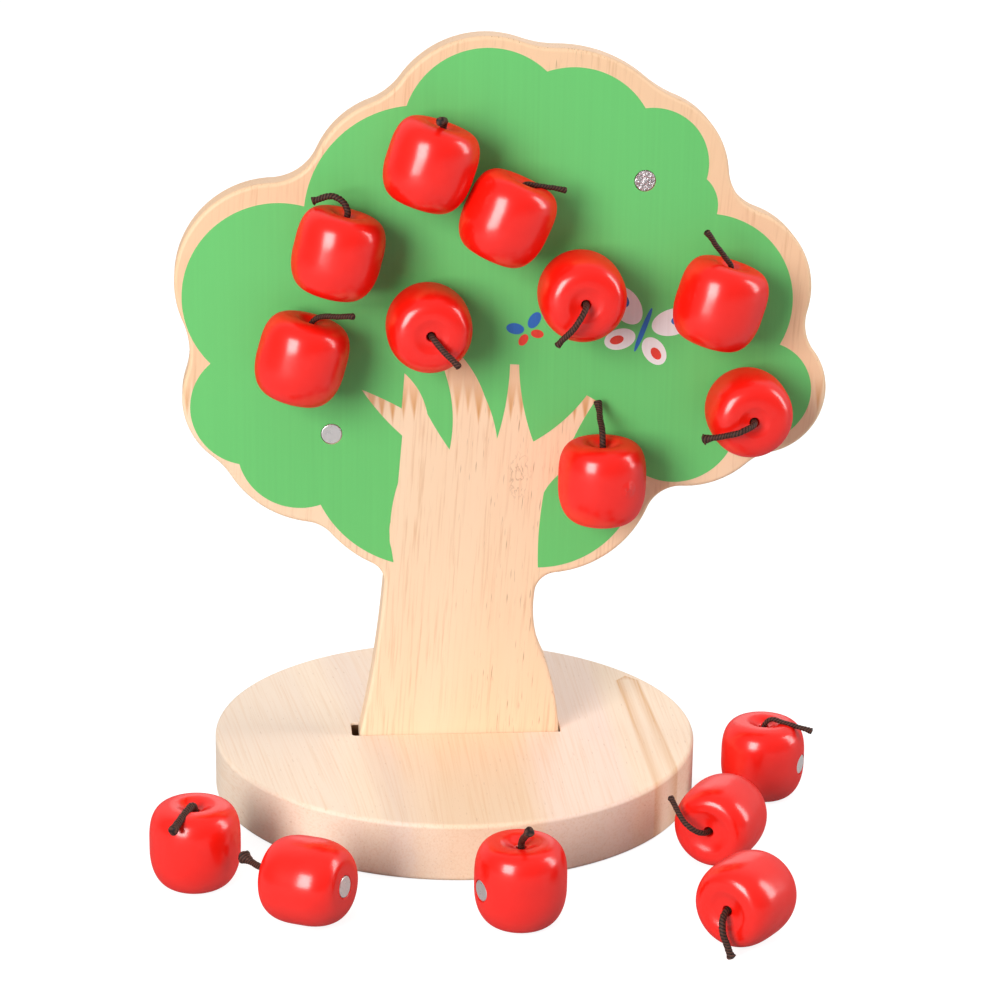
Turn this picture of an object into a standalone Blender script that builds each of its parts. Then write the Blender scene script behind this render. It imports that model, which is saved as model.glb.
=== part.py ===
"""Magnetic apple tree: a slot-in wooden tree on a round base, with red wooden apples on cord stems.

Frame: metres, +Z up, the tree's printed face looks along -Y. The origin is the centre of the
base's underside. Run it with blender --background --python part.py, or from the text editor.
"""

import math
from dataclasses import dataclass

import bmesh
import bpy
from mathutils import Matrix, Vector

# Units
MM = 0.001

# Base
BASE_DIAMETER = 180.0 * MM
BASE_THICKNESS = 21.5 * MM
BASE_EDGE_ROUND = 1.6 * MM
BASE_SEGMENTS = 72

# Slot in the base and the tree's foot in it
SLOT_DEPTH = 15.0 * MM
SLOT_SIDE_FIT = 0.3 * MM
SLOT_FLOOR_FIT = 0.3 * MM
SLOT_SLACK_LEFT = 2.8 * MM
SLOT_SLACK_RIGHT = 0.7 * MM
SLOT_CORNER_LEFT = 1.6 * MM
SLOT_CORNER_RIGHT = 0.6 * MM

# Tree board
BOARD_THICKNESS = 12.0 * MM
BOARD_EDGE_ROUND = 1.5 * MM
TRUNK_WIDTH_FOOT = 75.0 * MM
TRUNK_FOOT_OFFSET = 1.3 * MM
TRUNK_WAIST_LEFT = 27.2 * MM
TRUNK_WAIST_RIGHT = 28.6 * MM
TRUNK_BOW_LEFT = 1.1 * MM
TRUNK_KNEE_RIGHT = 33.3 * MM
TRUNK_KNEE_HEIGHT = 50.0 * MM
TRUNK_BOW_ABOVE_KNEE = 2.0 * MM
TRUNK_BOW_BELOW_KNEE = 1.0 * MM
NECK_ROUND_LEFT = 8.0 * MM
NECK_ROUND_RIGHT = 8.3 * MM
CROWN_WIDTH = 237.3 * MM
CROWN_HEIGHT = 200.2 * MM
CROWN_UNDERSIDE = 84.5 * MM
CROWN_OFFSET = 15.6 * MM

# Printed picture on the board
PRINT_RAISE = 0.15 * MM
PRINT_ROOT = 0.6 * MM
MOTIF_RAISE = 0.08 * MM

# Magnets
MAGNET_DIAMETER = 7.5 * MM
MAGNET_THICKNESS = 3.0 * MM
MAGNET_SIDE_FIT = 0.15 * MM
MAGNET_FLOOR_FIT = 0.3 * MM
MAGNET_SEGMENTS = 14

# Apples
APPLE_DIAMETER = 31.8 * MM
APPLE_HEIGHT = 30.0 * MM
APPLE_GAP = 0.3 * MM
APPLE_SEGMENTS = 16
DIMPLE_RADIUS = 6.0 * MM
DIMPLE_DEPTH = 2.8 * MM
STEM_HOLE_DEPTH = 8.0 * MM

# Cord stems
CORD_DIAMETER = 2.6 * MM
CORD_HOLE_FIT = 0.3 * MM
CORD_FLOOR_FIT = 0.3 * MM
CORD_BEND_STEP = 24.0

# Drawing and cutting
ARC_SAG = 0.2 * MM
POINT_SPACING = 0.2 * MM
OVERRUN = 1.0 * MM
WELD_DISTANCE = 0.01 * MM
BOW_STEPS = 4


# Crown outline: lobes from the left of the trunk over the top to the right of it, each a centre
# across, a centre up and a radius, as shares of the crown's width, height and width
CROWN_LOBE_SHARES = (
    (-0.114, 0.231, 0.194),
    (-0.276, 0.299, 0.164),
    (-0.372, 0.342, 0.116),
    (-0.344, 0.556, 0.153),
    (-0.153, 0.721, 0.142),
    (-0.031, 0.812, 0.156),
    (0.076, 0.729, 0.208),
    (0.208, 0.743, 0.129),
    (0.341, 0.536, 0.130),
    (0.399, 0.347, 0.102),
    (0.289, 0.330, 0.139),
    (0.072, 0.200, 0.169),
)
# Radius of the hollow between each lobe and the next, as shares of the crown's width
CROWN_VALLEY_SHARES = (0.060, 0.118, 0.115, 0.078, 0.102, 0.170, 0.169, 0.075, 0.073, 0.075, 0.055)

# Printed crown: sharp-cornered lobes in the same order and shares
PRINT_LOBE_SHARES = (
    (-0.114, 0.235, 0.183),
    (-0.309, 0.250, 0.097),
    (-0.384, 0.327, 0.092),
    (-0.341, 0.530, 0.145),
    (-0.133, 0.674, 0.170),
    (-0.030, 0.826, 0.127),
    (0.098, 0.793, 0.126),
    (0.218, 0.767, 0.087),
    (0.265, 0.692, 0.056),
    (0.303, 0.514, 0.139),
    (0.397, 0.346, 0.080),
    (0.269, 0.288, 0.095),
    (0.061, 0.194, 0.153),
)
# Where the print's round edge starts left of the trunk and ends right of it
PRINT_START_SHARE = (-0.166, 0.028)
PRINT_END_SHARE = (0.059, 0.013)
# Trunk and branches left bare by the print, right side to left side, each point across and up
# as shares of the crown's width and height, with the sideways bow, as a share of the width, of
# the line that ends there
BRANCH_SHARES = (
    (0.066, 0.158, 0.003),
    (0.090, 0.194, 0.002),
    (0.143, 0.333, 0.005),
    (0.129, 0.343, 0.000),
    (0.048, 0.256, 0.006),
    (0.024, 0.402, 0.005),
    (0.010, 0.403, 0.000),
    (-0.008, 0.263, 0.004),
    (-0.028, 0.343, 0.003),
    (-0.060, 0.413, 0.004),
    (-0.101, 0.465, 0.000),
    (-0.088, 0.384, -0.004),
    (-0.082, 0.246, -0.005),
    (-0.122, 0.311, 0.006),
    (-0.153, 0.386, 0.002),
    (-0.157, 0.325, -0.005),
    (-0.216, 0.357, 0.002),
    (-0.157, 0.272, -0.001),
    (-0.160, 0.180, 0.002),
    (-0.172, 0.091, 0.002),
)

# Two plain butterflies: across and up as shares of the crown, size as a share of its width, and
# the turn in degrees
BUTTERFLY_SHARES = (0.213, 0.465, 0.135)
BUTTERFLY_TURN = -20.0
SMALL_BUTTERFLY_SHARES = (0.036, 0.465, 0.055)
SMALL_BUTTERFLY_TURN = 24.0
# Parts of a butterfly on one side of its middle: across, up and the two half-axes as shares of
# its size, the part's turn in degrees
UPPER_WING_SHARES = (0.29, 0.20, 0.25, 0.155, 35.0)
LOWER_WING_SHARES = (0.21, -0.19, 0.18, 0.12, -35.0)
UPPER_SPOT_SHARES = (0.35, 0.25, 0.10, 0.06, 35.0)
LOWER_SPOT_SHARES = (0.24, -0.21, 0.08, 0.05, -35.0)
BODY_SHARES = (0.03, 0.27)
ELLIPSE_SEGMENTS = 12

# Apple profile as shares of the radius (across) and of half the height (up)
APPLE_TOP_RING_SHARE = 0.42
APPLE_BOTTOM_RING_SHARE = 0.47
APPLE_SHOULDER_SHARE = 0.13
APPLE_HIP_SHARE = -0.07
APPLE_TOP_FULLNESS = 2.3
APPLE_BOTTOM_FULLNESS = 2.2
APPLE_CORNER_STEPS = 4
DIMPLE_STEPS = 2
# Where a stem's tail has its last rings, as shares of the tail
TAIL_RING_SHARES = (0.6, 0.8, 1.0)


@dataclass(frozen=True)
class Stem:
    """A cord stem: it leaves the dimple, bends over and ends in a tail.

    Lengths are shares of the apple's diameter. The bearing turns about the apple's own axis.
    """

    bearing: float
    bend: float
    rise_share: float
    round_share: float
    tail_share: float
    swell_share: float = 1.15


@dataclass(frozen=True)
class OnCrown:
    """A place on the board, across and up as shares of the crown."""

    across_share: float
    up_share: float


@dataclass(frozen=True)
class RoundBase:
    """A place on the table at a bearing from the base's middle, some apple widths from its edge."""

    bearing: float
    gap_share: float


@dataclass(frozen=True)
class BesideApple:
    """A place at a bearing from another apple of the same list, a share of an apple further away
    than where the two would meet.
    """

    index: int
    bearing: float
    gap_share: float


@dataclass(frozen=True)
class TreeApple:
    """An apple held on the tree by one of its two magnet seats."""

    place: OnCrown | BesideApple
    seat: str
    lean: float
    stem: Stem


@dataclass(frozen=True)
class LooseApple:
    """An apple on the table beside the base, standing or lying on its side."""

    place: RoundBase | BesideApple
    pose: str
    heading: float
    seat: str
    stem: Stem


TREE_APPLES = (
    TreeApple(OnCrown(-0.119, 0.786), "side", 18.0, Stem(256.0, 80.0, 0.05, 0.16, 0.38, 1.30)),
    TreeApple(BesideApple(0, -35.5, 0.064), "side", 24.0, Stem(12.0, 83.0, 0.04, 0.11, 0.42)),
    TreeApple(OnCrown(-0.255, 0.629), "side", 14.0, Stem(170.0, 122.0, 0.05, 0.18, 0.17, 1.35)),
    TreeApple(BesideApple(2, -108.6, 0.331), "side", 15.0, Stem(318.0, 68.0, 0.04, 0.11, 0.48)),
    TreeApple(OnCrown(-0.119, 0.494), "bottom", 0.0, Stem(316.0, 50.0, 0.06, 0.19, 0.40)),
    TreeApple(BesideApple(1, -45.8, 0.262), "bottom", 0.0,
              Stem(234.0, 112.0, 0.06, 0.20, 0.26, 1.30)),
    TreeApple(OnCrown(0.318, 0.533), "side", 16.0, Stem(201.0, 52.0, 0.04, 0.11, 0.49, 1.30)),
    TreeApple(OnCrown(0.369, 0.331), "bottom", 0.0, Stem(199.0, 118.0, 0.05, 0.19, 0.40, 1.30)),
    TreeApple(OnCrown(0.147, 0.204), "side", 0.0, Stem(92.0, 54.0, 0.05, 0.15, 0.45, 1.30)),
)

LOOSE_APPLES = (
    LooseApple(RoundBase(221.2, 0.74), "standing", 0.0, "side",
               Stem(248.0, 100.0, 0.05, 0.11, 0.50)),
    LooseApple(BesideApple(0, -40.8, 0.60), "lying", -121.5, "bottom",
               Stem(167.0, 29.0, 0.05, 0.22, 0.50, 1.35)),
    LooseApple(RoundBase(276.1, 0.54), "standing", 124.0, "side",
               Stem(151.0, 60.0, 0.05, 0.16, 0.44, 1.30)),
    LooseApple(RoundBase(350.6, 0.32), "standing", -107.5, "side",
               Stem(74.5, 101.0, 0.08, 0.11, 0.42)),
    LooseApple(RoundBase(320.4, 0.35), "lying", -21.2, "bottom",
               Stem(144.0, 128.0, 0.05, 0.20, 0.34)),
    LooseApple(RoundBase(302.4, 1.86), "lying", -34.1, "bottom",
               Stem(291.0, 100.0, 0.06, 0.20, 0.22, 1.30)),
)
# Tree magnets that no apple covers, across and up as shares of the crown
OPEN_MAGNET_SHARES = ((-0.262, 0.275), (0.209, 0.739))

# Finishes: colour, roughness, metallic
FINISHES = {
    "beech": ((0.84, 0.66, 0.46), 0.55, 0.0),
    "pine": ((0.88, 0.68, 0.45), 0.55, 0.0),
    "green": ((0.15, 0.55, 0.16), 0.5, 0.0),
    "white": ((0.90, 0.88, 0.88), 0.5, 0.0),
    "blue": ((0.05, 0.16, 0.55), 0.5, 0.0),
    "red": ((0.78, 0.05, 0.04), 0.5, 0.0),
    "apple": ((0.80, 0.02, 0.02), 0.22, 0.0),
    "cord": ((0.03, 0.015, 0.015), 0.75, 0.0),
    "magnet": ((0.62, 0.60, 0.61), 0.32, 1.0),
}


# Scene helpers
def clear_scene():
    """Remove whatever the file starts with."""
    for item in list(bpy.data.objects):
        bpy.data.objects.remove(item, do_unlink=True)


def make_collection(name):
    group = bpy.data.collections.new(name)
    bpy.context.scene.collection.children.link(group)
    return group


def finish(name, label):
    """A material of its own for one object."""
    colour, rough, metal = FINISHES[name]
    material = bpy.data.materials.new(label)
    material.use_nodes = True
    shader = material.node_tree.nodes["Principled BSDF"]
    shader.inputs["Base Color"].default_value = (*colour, 1.0)
    shader.inputs["Roughness"].default_value = rough
    shader.inputs["Metallic"].default_value = metal
    material.diffuse_color = (*colour, 1.0)
    return material


def add_object(name, data, group, material, place=None):
    item = bpy.data.objects.new(name, data)
    group.objects.link(item)
    if material is not None:
        data.materials.append(material)
    if place is not None:
        item.matrix_world = place
    return item


def as_cutter(item):
    item.hide_render = True
    item.display_type = "WIRE"
    return item


def boolean(item, cutter, operation, keep_material=False):
    step = item.modifiers.new(cutter.name, "BOOLEAN")
    step.operation = operation
    step.solver = "EXACT"
    step.object = cutter
    if keep_material:
        step.material_mode = "TRANSFER"
    return step


def smooth(mesh, angle=40.0):
    mesh.shade_smooth()
    mesh.set_sharp_from_angle(angle=math.radians(angle))


# Flat outlines
def polar(centre, radius, angle):
    return Vector((centre.x + radius * math.cos(angle), centre.y + radius * math.sin(angle)))


def arc(centre, radius, start, end):
    """Points from one angle to another, close enough together to keep the sag small."""
    step = 2.0 * math.acos(1.0 - ARC_SAG / radius)
    count = max(2, math.ceil(abs(end - start) / step))
    return [polar(centre, radius, start + (end - start) * i / count) for i in range(count + 1)]


def bearing(origin, point):
    return math.atan2(point.y - origin.y, point.x - origin.x)


def outer_crossing(first, second):
    """Where two circles cross on the side that lies to the left of going from one to the other."""
    (centre_a, radius_a), (centre_b, radius_b) = first, second
    span = centre_b - centre_a
    length = span.length
    along = (radius_a ** 2 - radius_b ** 2 + length ** 2) / (2.0 * length)
    off = math.sqrt(radius_a ** 2 - along ** 2)
    unit = span / length
    return centre_a + unit * along + Vector((-unit.y, unit.x)) * off


def clockwise(start, end):
    """The end angle brought below the start angle by less than one turn."""
    while end > start:
        end -= 2.0 * math.pi
    while start - end > 2.0 * math.pi:
        end += 2.0 * math.pi
    return end


def lobed_path(lobes, valleys, first, last):
    """Clockwise path over round lobes from the point first to the point last.

    A valley of radius zero is a sharp corner where two lobes cross; any other is a hollow arc
    that both lobes run into smoothly.
    """
    path = []
    entry = bearing(lobes[0][0], first)
    for index, (centre, radius) in enumerate(lobes):
        if index == len(lobes) - 1:
            leave = bearing(centre, last)
            path += arc(centre, radius, entry, clockwise(entry, leave))
            break
        following, next_radius = lobes[index + 1]
        hollow = valleys[index]
        pivot = outer_crossing((centre, radius + hollow), (following, next_radius + hollow))
        leave = bearing(centre, pivot)
        path += arc(centre, radius, entry, clockwise(entry, leave))
        entry = bearing(following, pivot)
        if hollow > 0.0:
            start = bearing(pivot, centre)
            end = -clockwise(-start, -bearing(pivot, following))
            path += arc(pivot, hollow, start, end)[1:-1]
    return path


def bowed(start, end, bow, count=BOW_STEPS):
    """Points after start on a line bent to its left by bow at the middle."""
    side = Vector((start.y - end.y, end.x - start.x)).normalized()
    points = []
    for i in range(1, count + 1):
        t = i / count
        points.append(start.lerp(end, t) + side * bow * 4.0 * t * (1.0 - t))
    return points


def tidy_path(points):
    """Drop points that lie closer to the one before than the weld distance allows."""
    kept = []
    for point in points:
        if not kept or (point - kept[-1]).length > POINT_SPACING:
            kept.append(point)
    if (kept[0] - kept[-1]).length <= POINT_SPACING:
        kept.pop()
    return kept


def crown_point(across_share, up_share):
    return Vector((CROWN_OFFSET + across_share * CROWN_WIDTH,
                   CROWN_UNDERSIDE + up_share * CROWN_HEIGHT))


def crown_lobes(shares):
    return [(crown_point(across, up), radius * CROWN_WIDTH) for across, up, radius in shares]


def neck(lobe, waist, radius, side):
    """Centre of the round that joins a lobe's underside to the upright side of the trunk."""
    centre, lobe_radius = lobe
    across = waist + side * radius
    drop = math.sqrt((lobe_radius + radius) ** 2 - (across - centre.x) ** 2)
    return Vector((across, centre.y - drop))


def board_outline():
    """The whole tree board, from the foot's left corner clockwise."""
    lobes = crown_lobes(CROWN_LOBE_SHARES)
    valleys = [share * CROWN_WIDTH for share in CROWN_VALLEY_SHARES]
    left = neck(lobes[0], -TRUNK_WAIST_LEFT, NECK_ROUND_LEFT, -1.0)
    right = neck(lobes[-1], TRUNK_WAIST_RIGHT, NECK_ROUND_RIGHT, 1.0)
    foot_left = TRUNK_FOOT_OFFSET - TRUNK_WIDTH_FOOT / 2.0
    foot_right = TRUNK_FOOT_OFFSET + TRUNK_WIDTH_FOOT / 2.0
    bottom = BASE_THICKNESS - SLOT_DEPTH + SLOT_FLOOR_FIT
    path = [Vector((foot_left, bottom)), Vector((foot_left, BASE_THICKNESS))]
    path += bowed(path[-1], Vector((-TRUNK_WAIST_LEFT, left.y)), -TRUNK_BOW_LEFT)
    end = bearing(left, lobes[0][0])
    path += arc(left, NECK_ROUND_LEFT, 0.0, end)[1:]
    path += lobed_path(lobes, valleys, left, right)[1:]
    start = bearing(right, lobes[-1][0])
    path += arc(right, NECK_ROUND_RIGHT, start, math.pi)[1:]
    path += bowed(path[-1], Vector((TRUNK_KNEE_RIGHT, TRUNK_KNEE_HEIGHT)), -TRUNK_BOW_ABOVE_KNEE)
    path += bowed(path[-1], Vector((foot_right, BASE_THICKNESS)), TRUNK_BOW_BELOW_KNEE)
    path.append(Vector((foot_right, bottom)))
    return tidy_path(path)


def print_outline():
    """The printed crown, clockwise over the lobes and back along the bare trunk and branches."""
    lobes = crown_lobes(PRINT_LOBE_SHARES)
    path = lobed_path(lobes, [0.0] * (len(lobes) - 1), crown_point(*PRINT_START_SHARE),
                      crown_point(*PRINT_END_SHARE))
    for across, up, bow_share in BRANCH_SHARES:
        path += bowed(path[-1], crown_point(across, up), bow_share * CROWN_WIDTH)
    return tidy_path(path)


def ellipse(centre, half_long, half_short, turn):
    spin = Matrix.Rotation(turn, 2)
    points = []
    for i in range(ELLIPSE_SEGMENTS):
        angle = 2.0 * math.pi * i / ELLIPSE_SEGMENTS
        points.append(centre + spin @ Vector((half_long * math.cos(angle),
                                              half_short * math.sin(angle))))
    return points


def outline_mesh(name, outlines, half_depth):
    """A flat outline, or several apart from each other, extruded both ways and made a mesh."""
    curve = bpy.data.curves.new(name, "CURVE")
    curve.dimensions = "2D"
    curve.fill_mode = "BOTH"
    curve.extrude = half_depth
    for outline in outlines:
        spline = curve.splines.new("POLY")
        spline.points.add(len(outline) - 1)
        for knot, point in zip(spline.points, outline):
            knot.co = (point.x, point.y, 0.0, 1.0)
        spline.use_cyclic_u = True
    holder = bpy.data.objects.new(name, curve)
    bpy.context.scene.collection.objects.link(holder)
    graph = bpy.context.evaluated_depsgraph_get()
    mesh = bpy.data.meshes.new_from_object(holder.evaluated_get(graph))
    bpy.data.objects.remove(holder)
    work = bmesh.new()
    work.from_mesh(mesh)
    bmesh.ops.remove_doubles(work, verts=work.verts, dist=WELD_DISTANCE)
    bmesh.ops.dissolve_limit(work, angle_limit=math.radians(0.5), verts=work.verts,
                             edges=work.edges)
    bmesh.ops.recalc_face_normals(work, faces=work.faces)
    work.to_mesh(mesh)
    work.free()
    mesh.materials.clear()
    return mesh


def upright(y):
    """Stands a flat outline up so that it faces along -Y, with its middle at y."""
    return Matrix.Translation((0.0, y, 0.0)) @ Matrix.Rotation(math.pi / 2.0, 4, "X")


# Turned and round pieces
def cylinder_mesh(name, radius, depth, segments):
    mesh = bpy.data.meshes.new(name)
    work = bmesh.new()
    bmesh.ops.create_cone(work, cap_ends=True, segments=segments, radius1=radius, radius2=radius,
                          depth=depth)
    work.to_mesh(mesh)
    work.free()
    return mesh


def profile_mesh(name, profile):
    """A half profile in the XZ plane, top to bottom, for a Screw modifier."""
    mesh = bpy.data.meshes.new(name)
    mesh.from_pydata([(x, 0.0, z) for x, z in profile],
                     [(i, i + 1) for i in range(len(profile) - 1)], [])
    return mesh


def turn_profile(item, segments):
    screw = item.modifiers.new("turned", "SCREW")
    screw.axis = "Z"
    screw.angle = 2.0 * math.pi
    screw.steps = segments
    screw.render_steps = segments
    screw.use_merge_vertices = True
    screw.merge_threshold = WELD_DISTANCE
    screw.use_smooth_shade = True
    return screw


def bevel(item, width, segments, angle=50.0):
    edge = item.modifiers.new("edge_round", "BEVEL")
    edge.width = width
    edge.segments = segments
    edge.limit_method = "ANGLE"
    edge.angle_limit = math.radians(angle)
    return edge


# Base
def build_base(parts, cutters):
    mesh = cylinder_mesh("base_disc", BASE_DIAMETER / 2.0, BASE_THICKNESS, BASE_SEGMENTS)
    smooth(mesh)
    base = add_object("base_disc", mesh, parts, finish("beech", "base_disc_wood"),
                      Matrix.Translation((0.0, 0.0, BASE_THICKNESS / 2.0)))
    bevel(base, BASE_EDGE_ROUND, 2)
    low = TRUNK_FOOT_OFFSET - TRUNK_WIDTH_FOOT / 2.0 - SLOT_SLACK_LEFT
    high = TRUNK_FOOT_OFFSET + TRUNK_WIDTH_FOOT / 2.0 + SLOT_SLACK_RIGHT
    half = BOARD_THICKNESS / 2.0 + SLOT_SIDE_FIT
    corners = ((high, 1.0, 1.0, SLOT_CORNER_RIGHT, 0.0),
               (low, -1.0, 1.0, SLOT_CORNER_LEFT, math.pi / 2.0),
               (low, -1.0, -1.0, SLOT_CORNER_LEFT, math.pi),
               (high, 1.0, -1.0, SLOT_CORNER_RIGHT, math.pi * 3.0 / 2.0))
    path = []
    for x, across, along, radius, start in corners:
        centre = Vector((x - across * radius, along * (half - radius)))
        path += arc(centre, radius, start, start + math.pi / 2.0)
    depth = SLOT_DEPTH + OVERRUN
    slot = as_cutter(add_object("slot_cut", outline_mesh("slot_cut", [tidy_path(path)],
                                depth / 2.0), cutters, None,
                                Matrix.Translation((0.0, 0.0, BASE_THICKNESS - SLOT_DEPTH
                                                    + depth / 2.0))))
    boolean(base, slot, "DIFFERENCE")
    return base


# Tree board with its print and magnet pockets
def print_face():
    return -BOARD_THICKNESS / 2.0 - PRINT_RAISE


def raised_print(name, outlines, colour, raise_by, cutters):
    depth = PRINT_ROOT + raise_by
    front = -BOARD_THICKNESS / 2.0 - raise_by
    mesh = outline_mesh(name, outlines, depth / 2.0)
    return as_cutter(add_object(name, mesh, cutters, finish(colour, name + "_ink"),
                                upright(front + depth / 2.0)))


def butterfly_parts(shares, turn, parts):
    """Ellipses of some parts of a butterfly, each on both sides of its middle."""
    across, up, size_share = shares
    centre = crown_point(across, up)
    size = size_share * CROWN_WIDTH
    spin = Matrix.Rotation(math.radians(turn), 2)
    drawn = []
    for x, z, long_share, short_share, lean in parts:
        for side in (1.0, -1.0):
            middle = centre + spin @ Vector((side * x * size, z * size))
            drawn.append(ellipse(middle, long_share * size, short_share * size,
                                 math.radians(turn + side * lean)))
    return drawn


def butterfly_body(shares, turn):
    across, up, size_share = shares
    size = size_share * CROWN_WIDTH
    half_wide, half_tall = BODY_SHARES
    return ellipse(crown_point(across, up), half_wide * size, half_tall * size,
                   math.radians(turn))


def add_motifs(tree, cutters):
    """The printed butterflies, joined to the board's face colour by colour."""
    big, big_turn = BUTTERFLY_SHARES, BUTTERFLY_TURN
    small, small_turn = SMALL_BUTTERFLY_SHARES, SMALL_BUTTERFLY_TURN
    wings = butterfly_parts(big, big_turn, (UPPER_WING_SHARES, LOWER_WING_SHARES))
    blue = butterfly_parts(big, big_turn, (UPPER_SPOT_SHARES,))
    blue += butterfly_parts(small, small_turn, (UPPER_WING_SHARES,))
    blue.append(butterfly_body(big, big_turn))
    red = butterfly_parts(big, big_turn, (LOWER_SPOT_SHARES,))
    red += butterfly_parts(small, small_turn, (LOWER_WING_SHARES,))
    low, high = PRINT_RAISE + MOTIF_RAISE, PRINT_RAISE + MOTIF_RAISE + MOTIF_RAISE
    for name, outlines, colour, level in (("white_print", wings, "white", low),
                                          ("blue_print", blue, "blue", high),
                                          ("red_print", red, "red", high)):
        boolean(tree, raised_print(name, outlines, colour, level, cutters), "UNION",
                keep_material=True)


def magnet_places():
    """World x and z of every magnet in the tree: one behind each apple, then the open ones."""
    count = len(TREE_APPLES)
    places = [apple_spot(TREE_APPLES, index, APPLE_HEIGHT) for index in range(count)]
    return places + [crown_point(across, up) for across, up in OPEN_MAGNET_SHARES]


def build_tree(parts, cutters):
    mesh = outline_mesh("tree_panel", [board_outline()], BOARD_THICKNESS / 2.0)
    tree = add_object("tree_panel", mesh, parts, finish("pine", "tree_panel_wood"),
                      upright(0.0))
    bevel(tree, BOARD_EDGE_ROUND, 2)
    crown = raised_print("crown_print", [print_outline()], "green", PRINT_RAISE, cutters)
    boolean(tree, crown, "UNION", keep_material=True)
    add_motifs(tree, cutters)
    radius = MAGNET_DIAMETER / 2.0 + MAGNET_SIDE_FIT
    depth = MAGNET_THICKNESS + MAGNET_FLOOR_FIT + OVERRUN
    work = bmesh.new()
    for place in magnet_places():
        middle = print_face() - OVERRUN + depth / 2.0
        spot = Matrix.Translation((place.x, middle, place.y)) @ Matrix.Rotation(
            math.pi / 2.0, 4, "X")
        bmesh.ops.create_cone(work, cap_ends=True, segments=MAGNET_SEGMENTS, radius1=radius,
                              radius2=radius, depth=depth, matrix=spot)
    pockets = bpy.data.meshes.new("magnet_pockets")
    work.to_mesh(pockets)
    work.free()
    holes = as_cutter(add_object("magnet_pockets", pockets, cutters,
                                 finish("pine", "pocket_wood")))
    boolean(tree, holes, "DIFFERENCE", keep_material=True)
    return tree


def build_tree_magnets(parts, tree):
    for number, place in enumerate(magnet_places(), 1):
        name = f"tree_magnet_{number:02d}"
        mesh = cylinder_mesh(name, MAGNET_DIAMETER / 2.0, MAGNET_THICKNESS, MAGNET_SEGMENTS)
        smooth(mesh)
        spot = Matrix.Translation((place.x, print_face() + MAGNET_THICKNESS / 2.0, place.y))
        disc = add_object(name, mesh, parts, finish("magnet", name + "_nickel"))
        disc.parent = tree
        disc.matrix_parent_inverse = tree.matrix_world.inverted()
        disc.matrix_world = spot @ Matrix.Rotation(math.pi / 2.0, 4, "X")


# Apples
def fullness_curve(steps, fullness):
    """Shares across and up along one rounded corner, from its top end to its side end."""
    power = 2.0 / fullness
    for i in range(steps + 1):
        angle = math.pi / 2.0 * i / steps
        yield math.sin(angle) ** power, math.cos(angle) ** power


def apple_profile(seat):
    """Half profile of a turned apple, from the bottom of the stem's hole round to the base."""
    radius, half = APPLE_DIAMETER / 2.0, APPLE_HEIGHT / 2.0
    hole = CORD_DIAMETER / 2.0 + CORD_HOLE_FIT
    floor = half - DIMPLE_DEPTH
    profile = [(0.0, floor - STEM_HOLE_DEPTH), (hole, floor - STEM_HOLE_DEPTH), (hole, floor)]
    for i in range(1, DIMPLE_STEPS + 1):
        angle = math.pi / 2.0 * i / DIMPLE_STEPS
        profile.append((hole + (DIMPLE_RADIUS - hole) * math.sin(angle),
                        half - DIMPLE_DEPTH * math.cos(angle)))
    ring = APPLE_TOP_RING_SHARE * radius
    shoulder = APPLE_SHOULDER_SHARE * half
    for across, up in fullness_curve(APPLE_CORNER_STEPS, APPLE_TOP_FULLNESS):
        profile.append((ring + (radius - ring) * across, shoulder + (half - shoulder) * up))
    ring = APPLE_BOTTOM_RING_SHARE * radius
    hip = APPLE_HIP_SHARE * half
    for across, up in reversed(list(fullness_curve(APPLE_CORNER_STEPS, APPLE_BOTTOM_FULLNESS))):
        profile.append((ring + (radius - ring) * across, hip - (half + hip) * up))
    if seat == "bottom":
        pocket = MAGNET_DIAMETER / 2.0 + MAGNET_SIDE_FIT
        roof = MAGNET_THICKNESS + MAGNET_FLOOR_FIT - half
        profile += [(pocket, -half), (pocket, roof), (0.0, roof)]
    else:
        profile.append((0.0, -half))
    return profile


def stem_path(stem):
    """Points of a cord stem in the apple's own frame, with each point's swelling."""
    top = APPLE_HEIGHT / 2.0 - DIMPLE_DEPTH
    rise = stem.rise_share * APPLE_DIAMETER
    turn_radius = stem.round_share * APPLE_DIAMETER
    tail = stem.tail_share * APPLE_DIAMETER
    bend = math.radians(stem.bend)
    steps = max(2, math.ceil(stem.bend / CORD_BEND_STEP))
    flat = [(0.0, top - STEM_HOLE_DEPTH + CORD_FLOOR_FIT, 1.0), (0.0, top, 1.0)]
    for i in range(steps + 1):
        angle = bend * i / steps
        flat.append((turn_radius * (1.0 - math.cos(angle)),
                     top + rise + turn_radius * math.sin(angle), 1.0))
    out, up, _ = flat[-1]
    for along in TAIL_RING_SHARES:
        swell = 1.0 if along == TAIL_RING_SHARES[0] else stem.swell_share
        flat.append((out + along * tail * math.sin(bend), up + along * tail * math.cos(bend),
                     swell))
    aim = math.radians(stem.bearing)
    return [(Vector((out * math.cos(aim), out * math.sin(aim), up)), swell)
            for out, up, swell in flat]


def build_stem(name, stem, parts, place):
    curve = bpy.data.curves.new(name, "CURVE")
    curve.dimensions = "3D"
    curve.fill_mode = "FULL"
    curve.bevel_depth = CORD_DIAMETER / 2.0
    curve.bevel_resolution = 1
    curve.use_fill_caps = True
    path = stem_path(stem)
    spline = curve.splines.new("POLY")
    spline.points.add(len(path) - 1)
    for knot, (point, swell) in zip(spline.points, path):
        knot.co = (*point, 1.0)
        knot.radius = swell
    spline.use_smooth = True
    return add_object(name, curve, parts, finish("cord", name + "_cord"), place)


def seat_depth(seat):
    """From the apple's middle to its outermost face on the seat's side."""
    return APPLE_DIAMETER / 2.0 if seat == "side" else APPLE_HEIGHT / 2.0


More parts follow.
